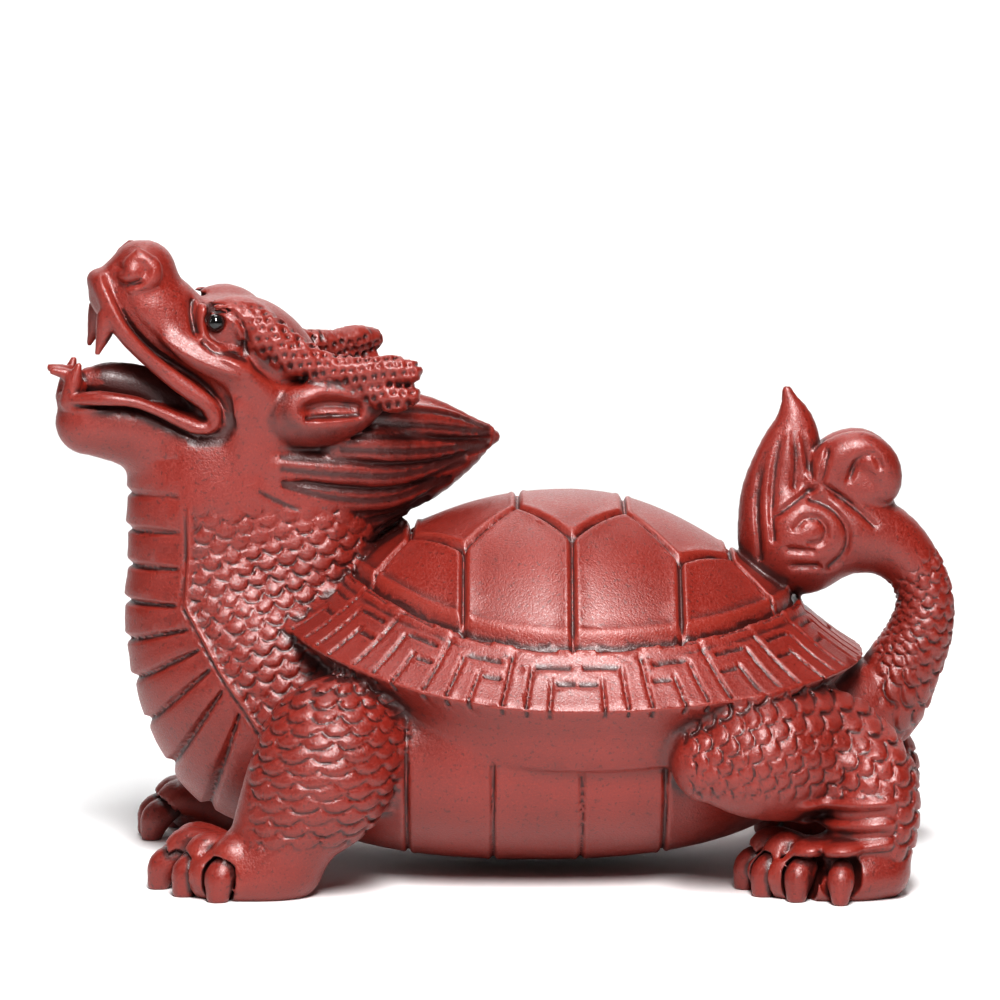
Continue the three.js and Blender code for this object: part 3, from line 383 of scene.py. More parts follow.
def shell_place(x, y):
    """For a place in plan: its share of the dome, its place across the section, and the section's lift."""
    dome = oval_reach(DOME, x, y)
    skirt = oval_reach(SKIRT, x, y)
    endways = np.minimum(np.abs(x - SHELL_MIDDLE) / SKIRT[0] / np.maximum(skirt, TINY), 1)
    lift = np.where(x < SHELL_MIDDLE, LIFT_FRONT, LIFT_REAR) * endways**2
    out = np.where(skirt < 1, (dome - 1) / np.maximum(dome - skirt, TINY), skirt)
    out = np.where(dome > 1, out, 0)
    held = np.minimum(out, 1)
    across = np.where(dome > 1, DOME[1] + (SKIRT[1] - DOME[1]) * held, dome * DOME[1])
    across = np.where((dome > 1) & (skirt > 1), SKIRT[1] * skirt, across)
    rise = np.where(dome < 1, FOOT_SHARE * dome**3, FOOT_SHARE + (1 - FOOT_SHARE) * held)
    behind = (x > SHELL_MIDDLE) & (dome < 1)
    fall = np.where(behind, REAR_FALL * dome * dome * (1 - dome) / FALL_PEAK, 0)
    return dome, across, lift * rise - fall * endways


def shell_section():
    """The section's upper and lower edges, each from the middle out to the rim."""
    share = np.linspace(0, 1, DOME_STEPS + 1)
    rise = (TOP_HEIGHT - FOOT_HEIGHT) * (1 - share**DOME_ROUNDNESS)
    side = SKIRT[1]
    upper = [(DOME[1] * s, FOOT_HEIGHT + r) for s, r in zip(share, rise)] + [(side, RIM_HEIGHT)]
    lower = [(0, BAND_FLOOR)] + [(side - inset, height) for inset, height in BAND_PROFILE]
    return upper, lower


RIDGE_MIDDLE = SHELL_MIDDLE - 0.3
RIDGE_STEP = 14.0
RIDGE_HALF = 8.0
RIDGE_POINT = 15.4
RIDGE_TAPER = 1.2
LAST_SEAM = 0.52
LAST_SEAM_INSET = 1.5


def shell_seams():
    seams = []
    for i in (-1, 0, 1):
        x = RIDGE_MIDDLE + i * RIDGE_STEP
        corner = RIDGE_POINT - RIDGE_TAPER * abs(i)
        seams.append(((x, corner), (x, SKIRT[1])))
        for side in (-1, 1):
            end = x + side * RIDGE_STEP / 2
            half = RIDGE_HALF - (RIDGE_TAPER if abs(i + side) > 1 else 0)
            seams.append(((x, corner), (end, half)))
            seams.append(((end, 0), (end, half)))
    for side in (-1, 1):
        end = RIDGE_MIDDLE + side * RIDGE_STEP * 1.5
        last = SHELL_MIDDLE + side * (DOME[0] - LAST_SEAM_INSET)
        seams.append(((end, RIDGE_HALF - RIDGE_TAPER), (last, DOME[1] * LAST_SEAM)))
    return seams


UPPER, LOWER = shell_section()
SHELL_EDGE = Lines([UPPER, LOWER])
SEAMS = Lines(shell_seams())
SEAM_WIDTH = 1.0
SEAM_DEPTH = 0.8
SEAM_LIP = 0.16
SECOND_LINE = 1.35  # a finer line runs round outside the dome's foot
SECOND_WIDTH = 0.45
SECOND_DEPTH = 0.12
SHELL_BOX = ((-30, -32, 12), (48, 32, 51))
CARVED_ABOVE = RIM_HEIGHT - 1
FRET_EDGE = (1, 1.01)  # shares of the dome over which the fret begins, and the seams end
SEAM_EDGE = (0.98, 1.04)


# The key fret on the skirt: nested angles between the dome's foot and the rim. The ends of a stroke are
# in shares of a motif along the rim, from the middle of the flank out, and in shares of the skirt's width.
FRET_PITCH = 10.4
FRET_LINE = 0.66
FRET_DEPTH = 0.32
FRET_LIP = 0.06
FRET_MOTIF = [
    ((0.3, 0.12), (0.9, 0.12)),
    ((0.93, 0.14), (0.93, 0.94)),
    ((0.1, 0.34), (0.56, 0.34)),
    ((0.63, 0.36), (0.63, 0.94)),
    ((0.04, 0.58), (0.26, 0.58)),
    ((0.34, 0.54), (0.34, 0.96)),
]
FRET_MIDDLE = 0.2  # how far behind the shell's middle the motifs turn round
RIM_STEPS = 400


def skirt_rim():
    """Points on the right half of the rim from tail to head, and each one's way along it."""
    turn = np.linspace(0, math.pi, RIM_STEPS)
    x, y = SKIRT[0] * np.cos(turn), SKIRT[1] * np.sin(turn)
    reach = oval_reach(SKIRT, SHELL_MIDDLE + x, y)
    x, y = x / reach, y / reach
    way = np.concatenate([[0], np.cumsum(np.hypot(np.diff(x), np.diff(y)))])
    return x, y, way


def fret_strokes():
    rim_x, rim_y, way = skirt_rim()
    middle = float(np.interp(-FRET_MIDDLE, -rim_x, way))

    def point(along, out):
        x, y = float(np.interp(along, way, rim_x)), float(np.interp(along, way, rim_y))
        beyond = float(oval_reach(DOME, SHELL_MIDDLE + x, y))
        share = 1 / (beyond - out * (beyond - 1))
        return SHELL_MIDDLE + x * share, y * share

    strokes = []
    for side in (-1, 1):
        for unit in range(int(way[-1] / 2 / FRET_PITCH) + 1):
            for ends in FRET_MOTIF:
                places = [(middle + side * (unit + along) * FRET_PITCH, out) for along, out in ends]
                if all(0 < along < way[-1] for along, _ in places):
                    strokes.append([point(*place) for place in places])
    return strokes


FRET = Lines(fret_strokes())


def shell_carving(b, dome, across):
    """Seams of the scutes, two lines round the dome's foot and the fret."""
    depth = incised(np.abs(across - DOME[1]), SEAM_WIDTH, SEAM_DEPTH, SEAM_LIP)
    depth = depth + SECOND_DEPTH * groove(across - DOME[1] - SECOND_LINE, SECOND_WIDTH)
    stroke = FRET.at(b.x, np.abs(b.y), FRET_LINE * 2)
    if stroke is not None:
        depth = depth + incised(stroke, FRET_LINE, FRET_DEPTH, FRET_LIP) * smooth(dome, *FRET_EDGE)
    seam = SEAMS.at(b.x, np.abs(b.y), SEAM_WIDTH * 2)
    if seam is not None:
        depth = depth + incised(seam, SEAM_WIDTH, SEAM_DEPTH, SEAM_LIP) * (1 - smooth(dome, *SEAM_EDGE))
    return depth


def shell(b, limit):
    if b.beyond(*SHELL_BOX) > limit:
        return None
    dome, across, lift = shell_place(b.x, b.y)
    z = b.z - lift
    below = z < np.interp(across, *zip(*UPPER))
    above = z > np.interp(across, *zip(*LOWER))
    d = SHELL_EDGE.at(across, z)
    d = np.where(below & above & (across < SKIRT[1]), -d, d)
    if float(z.max()) < CARVED_ABOVE:
        return d

    def carving(part):
        return np.where(z > CARVED_ABOVE, shell_carving(part, dome, across), 0)

    return skinned(d, b, carving)


# Belly plate
BELLY = ((4.0, 0.0, BAND_HEIGHT), (38.0, 26.6, 15.2), 2.35)
BELLY_SEAMS = (-12.4, -1.3, 10.1, 20.8)
BELLY_LINE = (0.9, 0.5, 0.1)  # width, depth and lip


def belly_lines(b):
    seam = np.min([np.abs(b.x - place) for place in BELLY_SEAMS], axis=0)
    return incised(seam, *BELLY_LINE)


def belly(b, limit):
    (cx, _, cz), (ax, ay, az), power = BELLY
    if b.beyond((cx - ax, -ay, cz - az), (cx + ax, ay, cz + az)) > limit:
        return None
    qx, qy, qz = np.abs(b.x - cx) / ax, np.abs(b.y) / ay, np.abs(b.z - cz) / az
    near = (qx**power + qy**power + qz**power) ** (1 / power)
    slope = np.sqrt((qx / ax) ** 2 + (qy / ay) ** 2 + (qz / az) ** 2)
    return skinned(near * (near - 1) / np.maximum(slope, TINY), b, belly_lines)


# Neck and chest
NECK_STEPS = [
    add(Coil([(-29.8, 0, 22, 17.6), (-36.4, 0, 31, 13.9), (-38.4, 0, 41, 11.5), (-38.2, 0, 50, 11.3),
              (-34, 0, 57, 9.5)], flat=0.8), 0),
    add(Lump((-26.8, 0, 41.5), (9.4, 7.6, 10.5)), 4),
]
THROAT_AXIS = (-29.5, 35.2)
THROAT_REACH = 19.5
THROAT_MIDDLE = (-37.4, 0.75)
THROAT_SPREAD = 0.5
THROAT_EDGE = (0.2, 1.4)
PLATE_CUT = 0.75
PLATE_SLOPE = 0.3
PLATE_LINE = (0.5, 0.3)  # half its width at the border, and what it gains by the middle
PLATE_WIDENS = (1, 6)
BORDER_CUT = (-0.2, 0.5, 0.35)  # place beside the border, half width and depth
BORDER_RIDGE = (-1.0, 0.7, 0.4)
BORDER_SPAN = (14, 16, 47, 49)  # heights
NECK_TILT = 0.22
NECK_SPAN = (18, 20, 47, 49)
NECK_EDGE = (0.9, 1.5)


def throat_side(b):
    """How far a point lies ahead of the border between the plates and the scales."""
    middle = THROAT_MIDDLE[0] + THROAT_MIDDLE[1] * np.maximum(THROAT_AXIS[1] - b.z, 0)
    return middle - b.x - np.abs(b.y) * THROAT_SPREAD


def throat_plates(b, side):
    turn = np.arctan2(THROAT_AXIS[1] - b.z, THROAT_AXIS[0] - b.x)
    run = np.where(b.z > THROAT_AXIS[1], THROAT_AXIS[1] - b.z, turn * THROAT_REACH)
    share = (run / PLATE_PITCH) % 1
    off = np.minimum(share, 1 - share) * PLATE_PITCH
    width = PLATE_LINE[0] + PLATE_LINE[1] * smooth(side, *PLATE_WIDENS)
    return smooth(side, *THROAT_EDGE) * (PLATE_CUT * groove(off, width) + PLATE_SLOPE * (1 - share))


def throat_border(b, side):
    (cut_at, cut_half, cut_in), (ridge_at, ridge_half, ridge) = BORDER_CUT, BORDER_RIDGE
    depth = cut_in * groove(side - cut_at, cut_half) - ridge * groove(side - ridge_at, ridge_half)
    return depth * between(b.z, *BORDER_SPAN)


def neck_scales(b, side):
    cos, sin = math.cos(NECK_TILT), math.sin(NECK_TILT)
    cut_in = scales(-b.x * cos - b.z * sin, b.x * sin - b.z * cos, SCALE_PITCH)
    return cut_in * smooth(-side, *NECK_EDGE) * between(b.z, *NECK_SPAN)


def neck_carving(b):
    side = throat_side(b)
    return throat_plates(b, side) + throat_border(b, side) + neck_scales(b, side)


def neck(b, limit):
    return skinned(work(NECK_STEPS, b), b, neck_carving)


# Legs
FRONT_LEG = [
    add(Coil([(-16, 14, 19, 8.4), (-21.3, 22.4, 18.6, 9.2), (-23.4, 25.2, 15, 9.2), (-26.6, 26, 10.5, 7.4),
              (-29, 26, 5.5, 6.4)], flat=0.84), 2.5),
    add(Lump((-33, 25, 3), (9, 6.8, 4.7), turn=0.1), 2),
]
FRONT_TOES = [(-43.6, 16), (-44.4, 21), (-40.8, 26.4), (-36.2, 30.4)]
FRONT_PALM = (-29, 23)
REAR_LEG = [
    add(Coil([(38.5, 14, 18.4, 8), (38, 22, 17.4, 8.2), (32.5, 26.2, 17.6, 7.6), (26.4, 27.2, 17.2, 5)],
             flat=0.86), 2.5),
    add(Coil([(43, 18, 17.6, 7.4), (46.6, 24, 14.6, 6.4), (47.4, 25, 9, 5.8), (45.6, 25, 4, 5.8)],
             flat=0.95), 1.5),
    add(Lump((41.6, 25, 2.8), (10.4, 7.2, 4.7), turn=0.2), 1.5),
]
REAR_TOES = [(31.2, 21.2), (33.2, 26.4), (37.4, 30.2), (42.6, 32.8)]
REAR_PALM = (44.6, 21.6)
TOE = [(0.4, 4.2, 2.6), (0.72, 5.6, 2.6), (0.84, 4.4, 2.3)]
NAIL = [(0.84, 4.2, 1.8), (0.95, 3, 2.1), (1, 0.8, 1.5)]
NAIL_GAP = 0.3  # a crease runs round each nail
TOE_JOIN = 0.5
CREASE_JOIN = 0.3
NAIL_JOIN = 0.1
WEB = (0.4, 0.98)  # the crease between two toes, in shares of the way from palm to tips
WEB_LINE = (0.6, 0.5)  # half width and depth
WEB_SPAN = (2.6, 3.6, 5.9, 7.4)  # heights


def outwards(palm, tip, stations):
    """Stations along a line from the palm to a tip, from their shares of the way, heights and radii."""
    (px, py), (x, y) = palm, tip
    return [(px + (x - px) * share, py + (y - py) * share, z, r) for share, z, r in stations]


def toes(palm, tips):
    crease = [(share, z, r + NAIL_GAP) for share, z, r in NAIL]
    steps = []
    for tip in tips:
        steps.append(add(Coil(outwards(palm, tip, TOE)), TOE_JOIN))
        steps.append(cut(Coil(outwards(palm, tip, crease)), CREASE_JOIN))
        steps.append(add(Coil(outwards(palm, tip, NAIL)), NAIL_JOIN))
    return steps


def toe_strokes(palm, tips):
    """In plan: a stroke between each two toes."""
    strokes = []
    for (ax, ay), (bx, by) in zip(tips, tips[1:]):
        x, y = (ax + bx) / 2 - palm[0], (ay + by) / 2 - palm[1]
        strokes.append([(palm[0] + x * share, palm[1] + y * share) for share in WEB])
    return Lines(strokes)


FRONT_STEPS = FRONT_LEG + toes(FRONT_PALM, FRONT_TOES)
REAR_STEPS = REAR_LEG + toes(REAR_PALM, REAR_TOES)
FRONT_CREASES = toe_strokes(FRONT_PALM, FRONT_TOES)
REAR_CREASES = toe_strokes(REAR_PALM, REAR_TOES)


def toe_creases(b, strokes):
    half, depth = WEB_LINE
    off = strokes.at(b.x, b.y, half)
    return 0 if off is None else depth * groove(off, half) * between(b.z, *WEB_SPAN)


FRONT_AXIS = ((6, 21.5, -28), (26, 19.5, -19.5))  # height, then y and x of the leg's middle
FRONT_ROUND = 7.0
FRONT_PITCH = SCALE_PITCH * 0.92
FRONT_SCALES = ((6, 8), (-33, -31.5))  # they begin above the foot and behind its top: z and x
REAR_HUB = (22.0, -6.0)  # the rows of scales fan out about this point of the flank
REAR_ROUND = 27.0
REAR_PITCH = SCALE_PITCH * 0.95
REAR_SCALES = ((4, 6), (22.5, 24))
HEEL = ((48.5, 50), (12.5, 14))  # there are no scales ahead of and below this
ANKLE_FOLDS = (12.2, 9.4, 6.8)
FOLD_SLANT = (0.08, 43)
FOLD_WIDTH = 1.1
FOLD_RISE = (0.35, 0.85)  # the skin between the folds sinks, and the folds swell over it
FOLD_SPAN = (36.5, 39, 48.5, 50.5)
FOLD_FLANK = (22, 25)


def front_scales(b):
    low, high = FRONT_AXIS
    share = (b.z - low[0]) / (high[0] - low[0])
    middle_y = low[1] + (high[1] - low[1]) * share
    middle_x = low[2] + (high[2] - low[2]) * share
    u = np.arctan2(b.x - middle_x, b.y - middle_y) * FRONT_ROUND
    there = smooth(b.z, *FRONT_SCALES[0]) * smooth(b.x, *FRONT_SCALES[1])
    return scales(u, -b.z, FRONT_PITCH) * there + toe_creases(b, FRONT_CREASES)


def rear_scales(b):
    dx, dz = b.x - REAR_HUB[0], b.z - REAR_HUB[1]
    reach = np.sqrt(dx * dx + dz * dz)
    turn = np.arctan2(dx, dz)
    heel = (1 - smooth(b.x, *HEEL[0])) * (1 - smooth(b.z, *HEEL[1]))
    there = (1 - heel) * smooth(b.z, *REAR_SCALES[0]) * smooth(b.x, *REAR_SCALES[1])
    return scales(reach, turn * REAR_ROUND, REAR_PITCH) * there + toe_creases(b, REAR_CREASES)


def ankle_folds(b):
    slant, middle = FOLD_SLANT
    waves = sum(groove(b.z - z - slant * (b.x - middle), FOLD_WIDTH) for z in ANKLE_FOLDS)
    there = between(b.x, *FOLD_SPAN) * smooth(b.y, *FOLD_FLANK)
    return (FOLD_RISE[0] - FOLD_RISE[1] * waves) * there


STRIDE_SPAN = (6, 24)  # heights over which the stride fades out up the leg
STRIDE_STRETCH = 1.5  # the most that it stretches a block


def stepped(b, stride):
    """The block as the leg has it: the thigh keeps its place and the foot takes the whole stride."""
    def shift(y, z):
        return np.where(y > 0, stride * (1 - smooth(z, *STRIDE_SPAN)), 0)

    cx, cy, cz = b.centre
    x = b.x + shift(b.y, b.z)
    centre = (cx + float(shift(cy, cz)), abs(cy), cz)
    spare = 2 * abs(stride) if abs(cy) < b.radius else 0
    return Block(x, np.abs(b.y), b.z, centre, b.radius * STRIDE_STRETCH + spare, b.limit)


def legs(b, limit):
    ahead, behind = stepped(b, STRIDE_FRONT), stepped(b, STRIDE_REAR)
    front = skinned(work(FRONT_STEPS, ahead), ahead, front_scales)
    rear = skinned(work(REAR_STEPS, behind), behind, lambda part: rear_scales(part) + ankle_folds(part))
    if front is None or rear is None:
        return rear if front is None else front
    return np.minimum(front, rear)


# Tail
TAIL_STEPS = [
    add(Coil([(43, 0, 20.5, 7.6), (49.8, 0, 21, 6), (53.3, 0, 26.2, 5), (55.5, 0, 31, 4.3),
              (56, 0, 35.5, 3.8), (54.2, 0, 39.8, 3.9), (50.2, 0, 43.2, 4.8), (44, 0, 44.6, 6)]), 2),
    add(Lump((39.4, 0, 43.6), (7.8, 7, 7.8)), 1.5),
    add(Coil([(37.4, 0, 44, 6.2), (36.8, 0, 49, 5.2), (38, 0, 54.4, 4.2), (38.6, 0, 58.6, 2.5),
              (37.6, 0, 62.8, 0.7)], flat=0.8), 1),
    add(Lump((46.6, 0, 50.6), (5.4, 4.6, 5)), 1.5),
    add(Coil([(42.6, 1.6, 51, 3.4), (44.2, 2.2, 54, 2.9), (47.2, 2.4, 55, 2.7), (49.6, 2.4, 53.2, 2.7),
              (50, 2.2, 50.4, 2.4), (47.8, 2.8, 49.8, 1.8)]), 0.6),
]


TAIL_HUB = (46.7, 33.8)
TAIL_BEND = 9.0
TAIL_RUN = 11.0
TAIL_ROUND = 4.6
TAIL_PITCH = SCALE_PITCH * 0.9
TAIL_SPAN = (-1.6, -1.3, 0.55, 0.8)  # turns about the hub
TAIL_FROM = (49, 50)
TAIL_CURLS = [  # drawn on the flanks: x and z
    [(40.4, 48.8), (42.6, 48), (44.4, 46.4), (45.3, 44.2), (44.8, 41.8), (43, 40)],
    [(38.4, 45.2), (39.6, 46.4), (41.4, 46.4), (42.4, 45), (41.8, 43.4), (40.2, 43.2)],
    [(37.6, 42.4), (40.6, 42.2)],
    [(38.2, 40.2), (41.2, 40.2)],
    [(36.9, 60.4), (34.6, 54.6), (33.6, 48), (34, 41)],
    [(37.6, 60.6), (36, 54), (35.4, 48), (35.6, 43.6)],
    [(39, 60.4), (39.6, 56.6), (40.8, 51.6)],
    [(38.2, 59), (38.6, 54), (38.4, 50.4)],
    [(45.6, 51.6), (46.6, 54), (48.6, 54.8), (49.6, 53.2)],
    [(35.4, 46.4), (39, 49), (41.6, 51), (42.8, 55)],
    [(41.6, 51), (45.4, 48.4), (48.8, 45.4)],
]
CURL_LINE = 0.75
CURL_DEPTH = 0.6
CURL_FLANK = (1.5, 3)
CURLS = drawn(TAIL_CURLS)


def curls(b):
    off = CURLS.at(b.x, b.z, CURL_LINE)
    return 0 if off is None else CURL_DEPTH * groove(off, CURL_LINE) * smooth(b.y, *CURL_FLANK)


def tail_scales(b):
    dx, dz = b.x - TAIL_HUB[0], b.z - TAIL_HUB[1]
    reach = np.sqrt(dx * dx + dz * dz)
    turn = np.arctan2(dz, dx)
    u = np.arctan2(b.y, reach - TAIL_BEND) * TAIL_ROUND
    there = between(turn, *TAIL_SPAN) * smooth(b.x, *TAIL_FROM)
    return scales(u, -turn * TAIL_RUN, TAIL_PITCH) * there


def tail(b, limit):
    half = b.mirrored()
    return skinned(work(TAIL_STEPS, half), half, lambda part: tail_scales(part) + curls(part))


# Head, in its own frame
JAW_GAP = [  # the open mouth in side view: x and z
    (-3.6, 5.6), (-3.4, 6.8), (-6.7, 8.9), (-11.9, 13.2), (-15.4, 16.6), (-17.2, 19.6), (-26, 26),
    (-30, 12), (-21.4, 8.4), (-16.2, 9.2), (-11.4, 8.4), (-6.2, 6.4),
]
SKULL_STEPS = [
    add(Lump((4.6, 0, 9.4), (9.6, 9, 9.2)), 2),
    add(Coil([(3, 0, 13, 7.6), (-4.3, 0, 14.8, 6.1), (-9.1, 0, 18.8, 5.8), (-12.9, 0, 21.1, 4.3)]), 2.5),
    add(Coil([(1, 0, 0.5, 7.6), (-7, 0, 2.6, 5.8), (-13.3, 0, 3.9, 5.1), (-17.1, 0, 4.1, 4.3)]), 2.5),
    add(Coil([(8, 0, 3, 8.6), (17, 0, -1.2, 7.4), (25, 0, -2.6, 6), (32, 0, -0.8, 3.6),
              (37.8, 0, 1, 0.9)]), 2),
    add(Coil([(-6, 0, -1, 4.6), (-2.2, 0, -5, 8), (2.4, 0, -9, 9.4)]), 4),
    add(Lump((2, 7, 7), (3.6, 2.8, 3.4)), 1.8),
    add(Lump((4, 6.2, 2), (4.2, 3.4, 5)), 1.6),
]


def roll(points, radius, blend):
    return add(Coil([(*p, radius) for p in points]), blend)


LIP = [(-16.1, 0, 23), (-15.7, 2.2, 22.4), (-14.6, 3.8, 19.6), (-13, 4.8, 16.7), (-10.2, 5.4, 13.8),
       (-7.4, 6, 11.2), (-4.6, 6.8, 9.1), (-2, 7.4, 7), (-1.4, 7.6, 5), (-3, 7.2, 4.1), (-5.5, 6.6, 5.1),
       (-8.4, 6, 6.4), (-12, 5.4, 7.8), (-15.8, 4.6, 8), (-19, 2.4, 7.3), (-20, 0, 7)]
FACE_STEPS = [
    add(Lump((-10.1, 0, 24), (4.3, 4.4, 4.2)), 1.5),
    add(Lump((-12, 3.4, 24.4), (2, 1.7, 1.9)), 0.5),
    roll([(-11.2, 3.4, 27), (-9.2, 4.3, 25.6), (-9.4, 4.6, 23.6), (-12, 4.1, 22.4)], 0.7, 0.6),
    roll(LIP, 1.35, 0.8),
    add(Coil([(-8.1, 4.6, 17, 1.6), (-4.9, 6, 14.6, 2.3), (0.9, 7.6, 12.1, 2.5), (4.6, 8, 9.2, 2)]), 1),
    add(Lump((1.8, 4.4, 18.2), (4.8, 3.6, 3.2), tip=-0.1), 1),
    add(Lump((-0.6, 5.6, 16.8), (2.6, 1.9, 2.4)), 0.3),
    roll([(-3.1, 5.6, 19.8), (-3.3, 6, 17.6), (-2.6, 6.6, 15.6), (0, 7.4, 14), (3, 7.8, 12.4)], 0.8, 0.4),
    roll([(-2.6, 6.2, 19.4), (-1, 6.8, 20), (0.9, 7.2, 19.2), (2.2, 7.5, 16.8), (3, 7.7, 14)], 0.75, 0.4),
    press([(3.6, 8.4, 14.6), (6, 8.8, 11.6), (9, 9.2, 10.4), (12, 9.6, 11.6)], 1.3, 0.8),
    press([(-14.8, 2.8, 23.6), (-13.6, 4.6, 21.4), (-11.8, 5.4, 18.2), (-8.7, 6, 15.2), (-5, 6.8, 12.2),
           (-1.4, 7.8, 9.6), (0.4, 8.4, 7), (-0.4, 8, 3.6), (-4, 7, 2.9)], 1.3, 0.9),
]
ANTLER = Coil([
    (1.8, 5.8, 18.8, 2.3), (4.6, 6.6, 17, 2.9), (8.2, 7.8, 14.4, 2.7), (12.8, 9, 12.6, 2),
    (17.4, 10.2, 12.2, 1.9), (21, 11.2, 12.5, 2), (23.4, 12, 12.4, 1.6),
])
PRONG = Coil([(15, 9.2, 12.6, 1.6), (18.6, 10.4, 10, 1.9), (21.2, 11.2, 9, 2.2), (23.2, 11.6, 9.2, 1.7)])
PIT_SLANT = (0.4, -0.6)
ANTLER_PITS = (1.3, 0.64, 0.6)  # pitch, radius and depth


def antler_pits(b):
    return pits(b.x + PIT_SLANT[0] * b.y, b.z + PIT_SLANT[1] * b.y, *ANTLER_PITS)


ANTLER_STEPS = [add(ANTLER, 0.8, antler_pits), add(PRONG, 0.7, antler_pits)]
EAR_STEPS = [
    add(Coil([(6.8, 8, 6, 3.4), (11, 9.2, 6.4, 4.4), (15.6, 9.2, 7, 3.6), (20, 8.4, 8, 1.6)],
             flat=0.62), 0.8),
    cut(Coil([(9.6, 12, 7.6, 1.2), (12.6, 12.3, 8, 1.9), (16.4, 11.6, 7.8, 1)]), 0.5),
]
LOCKS = [
    [(16, 5, 5, 2.6), (22, 5.8, 4.5, 2.7), (29.4, 3.6, 3.5, 2.4), (36.8, 0.8, 1.8, 1)],
    [(15, 8, 1.6, 2.6), (21, 7.6, 1.2, 2.5), (28, 4.8, 0.6, 2.1), (36.6, 1, 0.4, 0.6)],
    [(7, 8.6, -0.8, 2.2), (15, 8.8, -1.6, 2.3), (23, 7, -2.2, 2.2), (33, 3, -1.2, 0.7)],
    [(7.2, 8.6, -3, 2), (14, 8.6, -4.8, 2.3), (22, 6.8, -5.4, 2.2), (31, 3, -3.6, 0.7)],
    [(4, 8.2, -3.8, 1.9), (10, 8.4, -6.6, 2.2), (18, 6.8, -8.4, 2.3), (28, 3, -6.4, 0.7)],
    [(1, 7.8, -4.8, 1.6), (7, 8, -8.4, 2), (14, 6.2, -11, 2.2), (24, 3, -9.4, 0.8)],
]
MANE_FLAT = 0.75
STRAND_TURNS = (-48, 2, 50)  # degrees round a lock, from its outer side up
STRAND_LINE = (0.6, 0.42)


def strands(lock):
    """Lines cut along a lock of the mane."""
    steps = []
    for turn in STRAND_TURNS:
        out, up = math.cos(math.radians(turn)), math.sin(math.radians(turn))
        line = [(x, y + r * out * MANE_FLAT, z + r * up) for x, y, z, r in lock]
        steps.append(press(line, *STRAND_LINE))
    return steps


MANE_STEPS = [add(Coil(lock, flat=MANE_FLAT), 0.5) for lock in LOCKS]
MANE_STEPS += [step for lock in LOCKS for step in strands(lock)]
TEETH_STEPS = [
    add(Coil([(-15.2, 3.4, 18.6, 1.5), (-15.8, 3.4, 16.2, 1), (-16.5, 3.4, 14, 0.4)]), 0.3),
    add(Coil([(-20, 1.8, 7.2, 1.2), (-19.4, 2, 9.8, 1.1), (-18.8, 2.2, 12, 0.45)]), 0.3),
    add(Coil([(-18.8, 1.2, 8.8, 1.2), (-20, 1.2, 10.6, 0.9), (-22, 1.2, 11.2, 0.5)]), 0.3),
]
# Lines drawn on both sides of the face: x and z
FACE_CUTS = [
    [(-2.6, 18.6), (-2.2, 19.7), (-0.4, 19.9), (1, 19.1), (2, 17.7), (2.3, 15.8), (1.9, 13.8)],
    [(-3.2, 15.8), (-2, 14.9), (-0.2, 14.4), (1.4, 14)],
    [(2.4, 15), (3.6, 12.5), (6.2, 10.8), (9.4, 10.8)],
    [(-4.3, 20.4), (-4.5, 19), (-4.1, 17)],
    [(-14.4, 23.3), (-13, 22.9), (-11.4, 23.3)],
    [(-15.5, 24.3), (-14.6, 21.8), (-13.4, 19.2), (-11.6, 16.6), (-9.1, 14.2), (-6, 12.2), (-3.4, 10.5),
     (-1.3, 8.4), (-0.6, 6.4), (-1.2, 4.4), (-3.2, 3.1)],
]
LIP_SLIT = [(-20.4, 6.9), (-16, 7), (-12.4, 6.9), (-9.4, 5.9), (-7.1, 4.7), (-4.8, 3.6), (-3.2, 3.5)]
FACE_ROLLS = [
    [(-3.4, 20.2), (-3.5, 18.6), (-3.1, 16.2), (-1.8, 15.2), (0.2, 13.6), (2.3, 12.2)],
    [(-13.1, 26.8), (-10.8, 26.3), (-9.8, 24.9), (-10.5, 23.4), (-12.6, 22.6)],
    [(-8.4, 16.2), (-5.8, 14.4), (-2.6, 13), (0.8, 12)],
]
EAR_CUTS = [[(9.8, 6.2), (13, 6.4), (16.9, 6.4)], [(10.4, 7.4), (13.4, 7.8), (16.6, 7.4)]]
FACE_DRAWING = [  # lines with their half width and their depth, which is negative for a roll of clay
    (drawn(FACE_CUTS), 0.75, 0.65),
    (drawn([LIP_SLIT]), 0.55, 0.7),
    (drawn(FACE_ROLLS), 0.9, -0.4),
    (drawn(EAR_CUTS[:1]), 0.5, 0.8),
    (drawn(EAR_CUTS[1:]), 1.3, 0.9),
]
FACE_FLANK = (2.2, 3.4)


def face_lines(b):
    depth = 0
    for lines, half, cut_in in FACE_DRAWING:
        off = lines.at(b.x, b.z, half)
        if off is not None:
            depth = depth + cut_in * groove(off, half)
    return depth * smooth(b.y, *FACE_FLANK)


HEAD_STEPS = SKULL_STEPS + FACE_STEPS + ANTLER_STEPS + EAR_STEPS + MANE_STEPS
MOUTH = cut(Coil([(-4, 0, 6.4, 2.6), (-10, 0, 9.6, 4.2), (-16, 0, 12.4, 4.6), (-22, 0, 15, 4.6)],
                 flat=0.9), 0.7)
NOSTRIL = cut(Lump((-14.1, 4.4, 25.2), (0.95, 2.6, 0.95)), 0.3)
TONGUE = add(Coil([(-3, 0, 4, 3), (-9, 0, 8, 3), (-14, 0, 9.4, 2.6), (-17, 0, 9.8, 1.6)]), 0.5)
BEAD_AT = (-1.7, 7.3, 18.4)
HEAD_FRAME = Matrix.Translation(HEAD_AT) @ Euler((HEAD_ROLL, 0, HEAD_YAW)).to_matrix().to_4x4()
INTO_HEAD = np.array(HEAD_FRAME.inverted())
HEAD_BALL = ((-33, 0, 60), 34)
JAW_EDGE = Lines([JAW_GAP + JAW_GAP[:1]])
JAW_SOFTNESS = 0.7


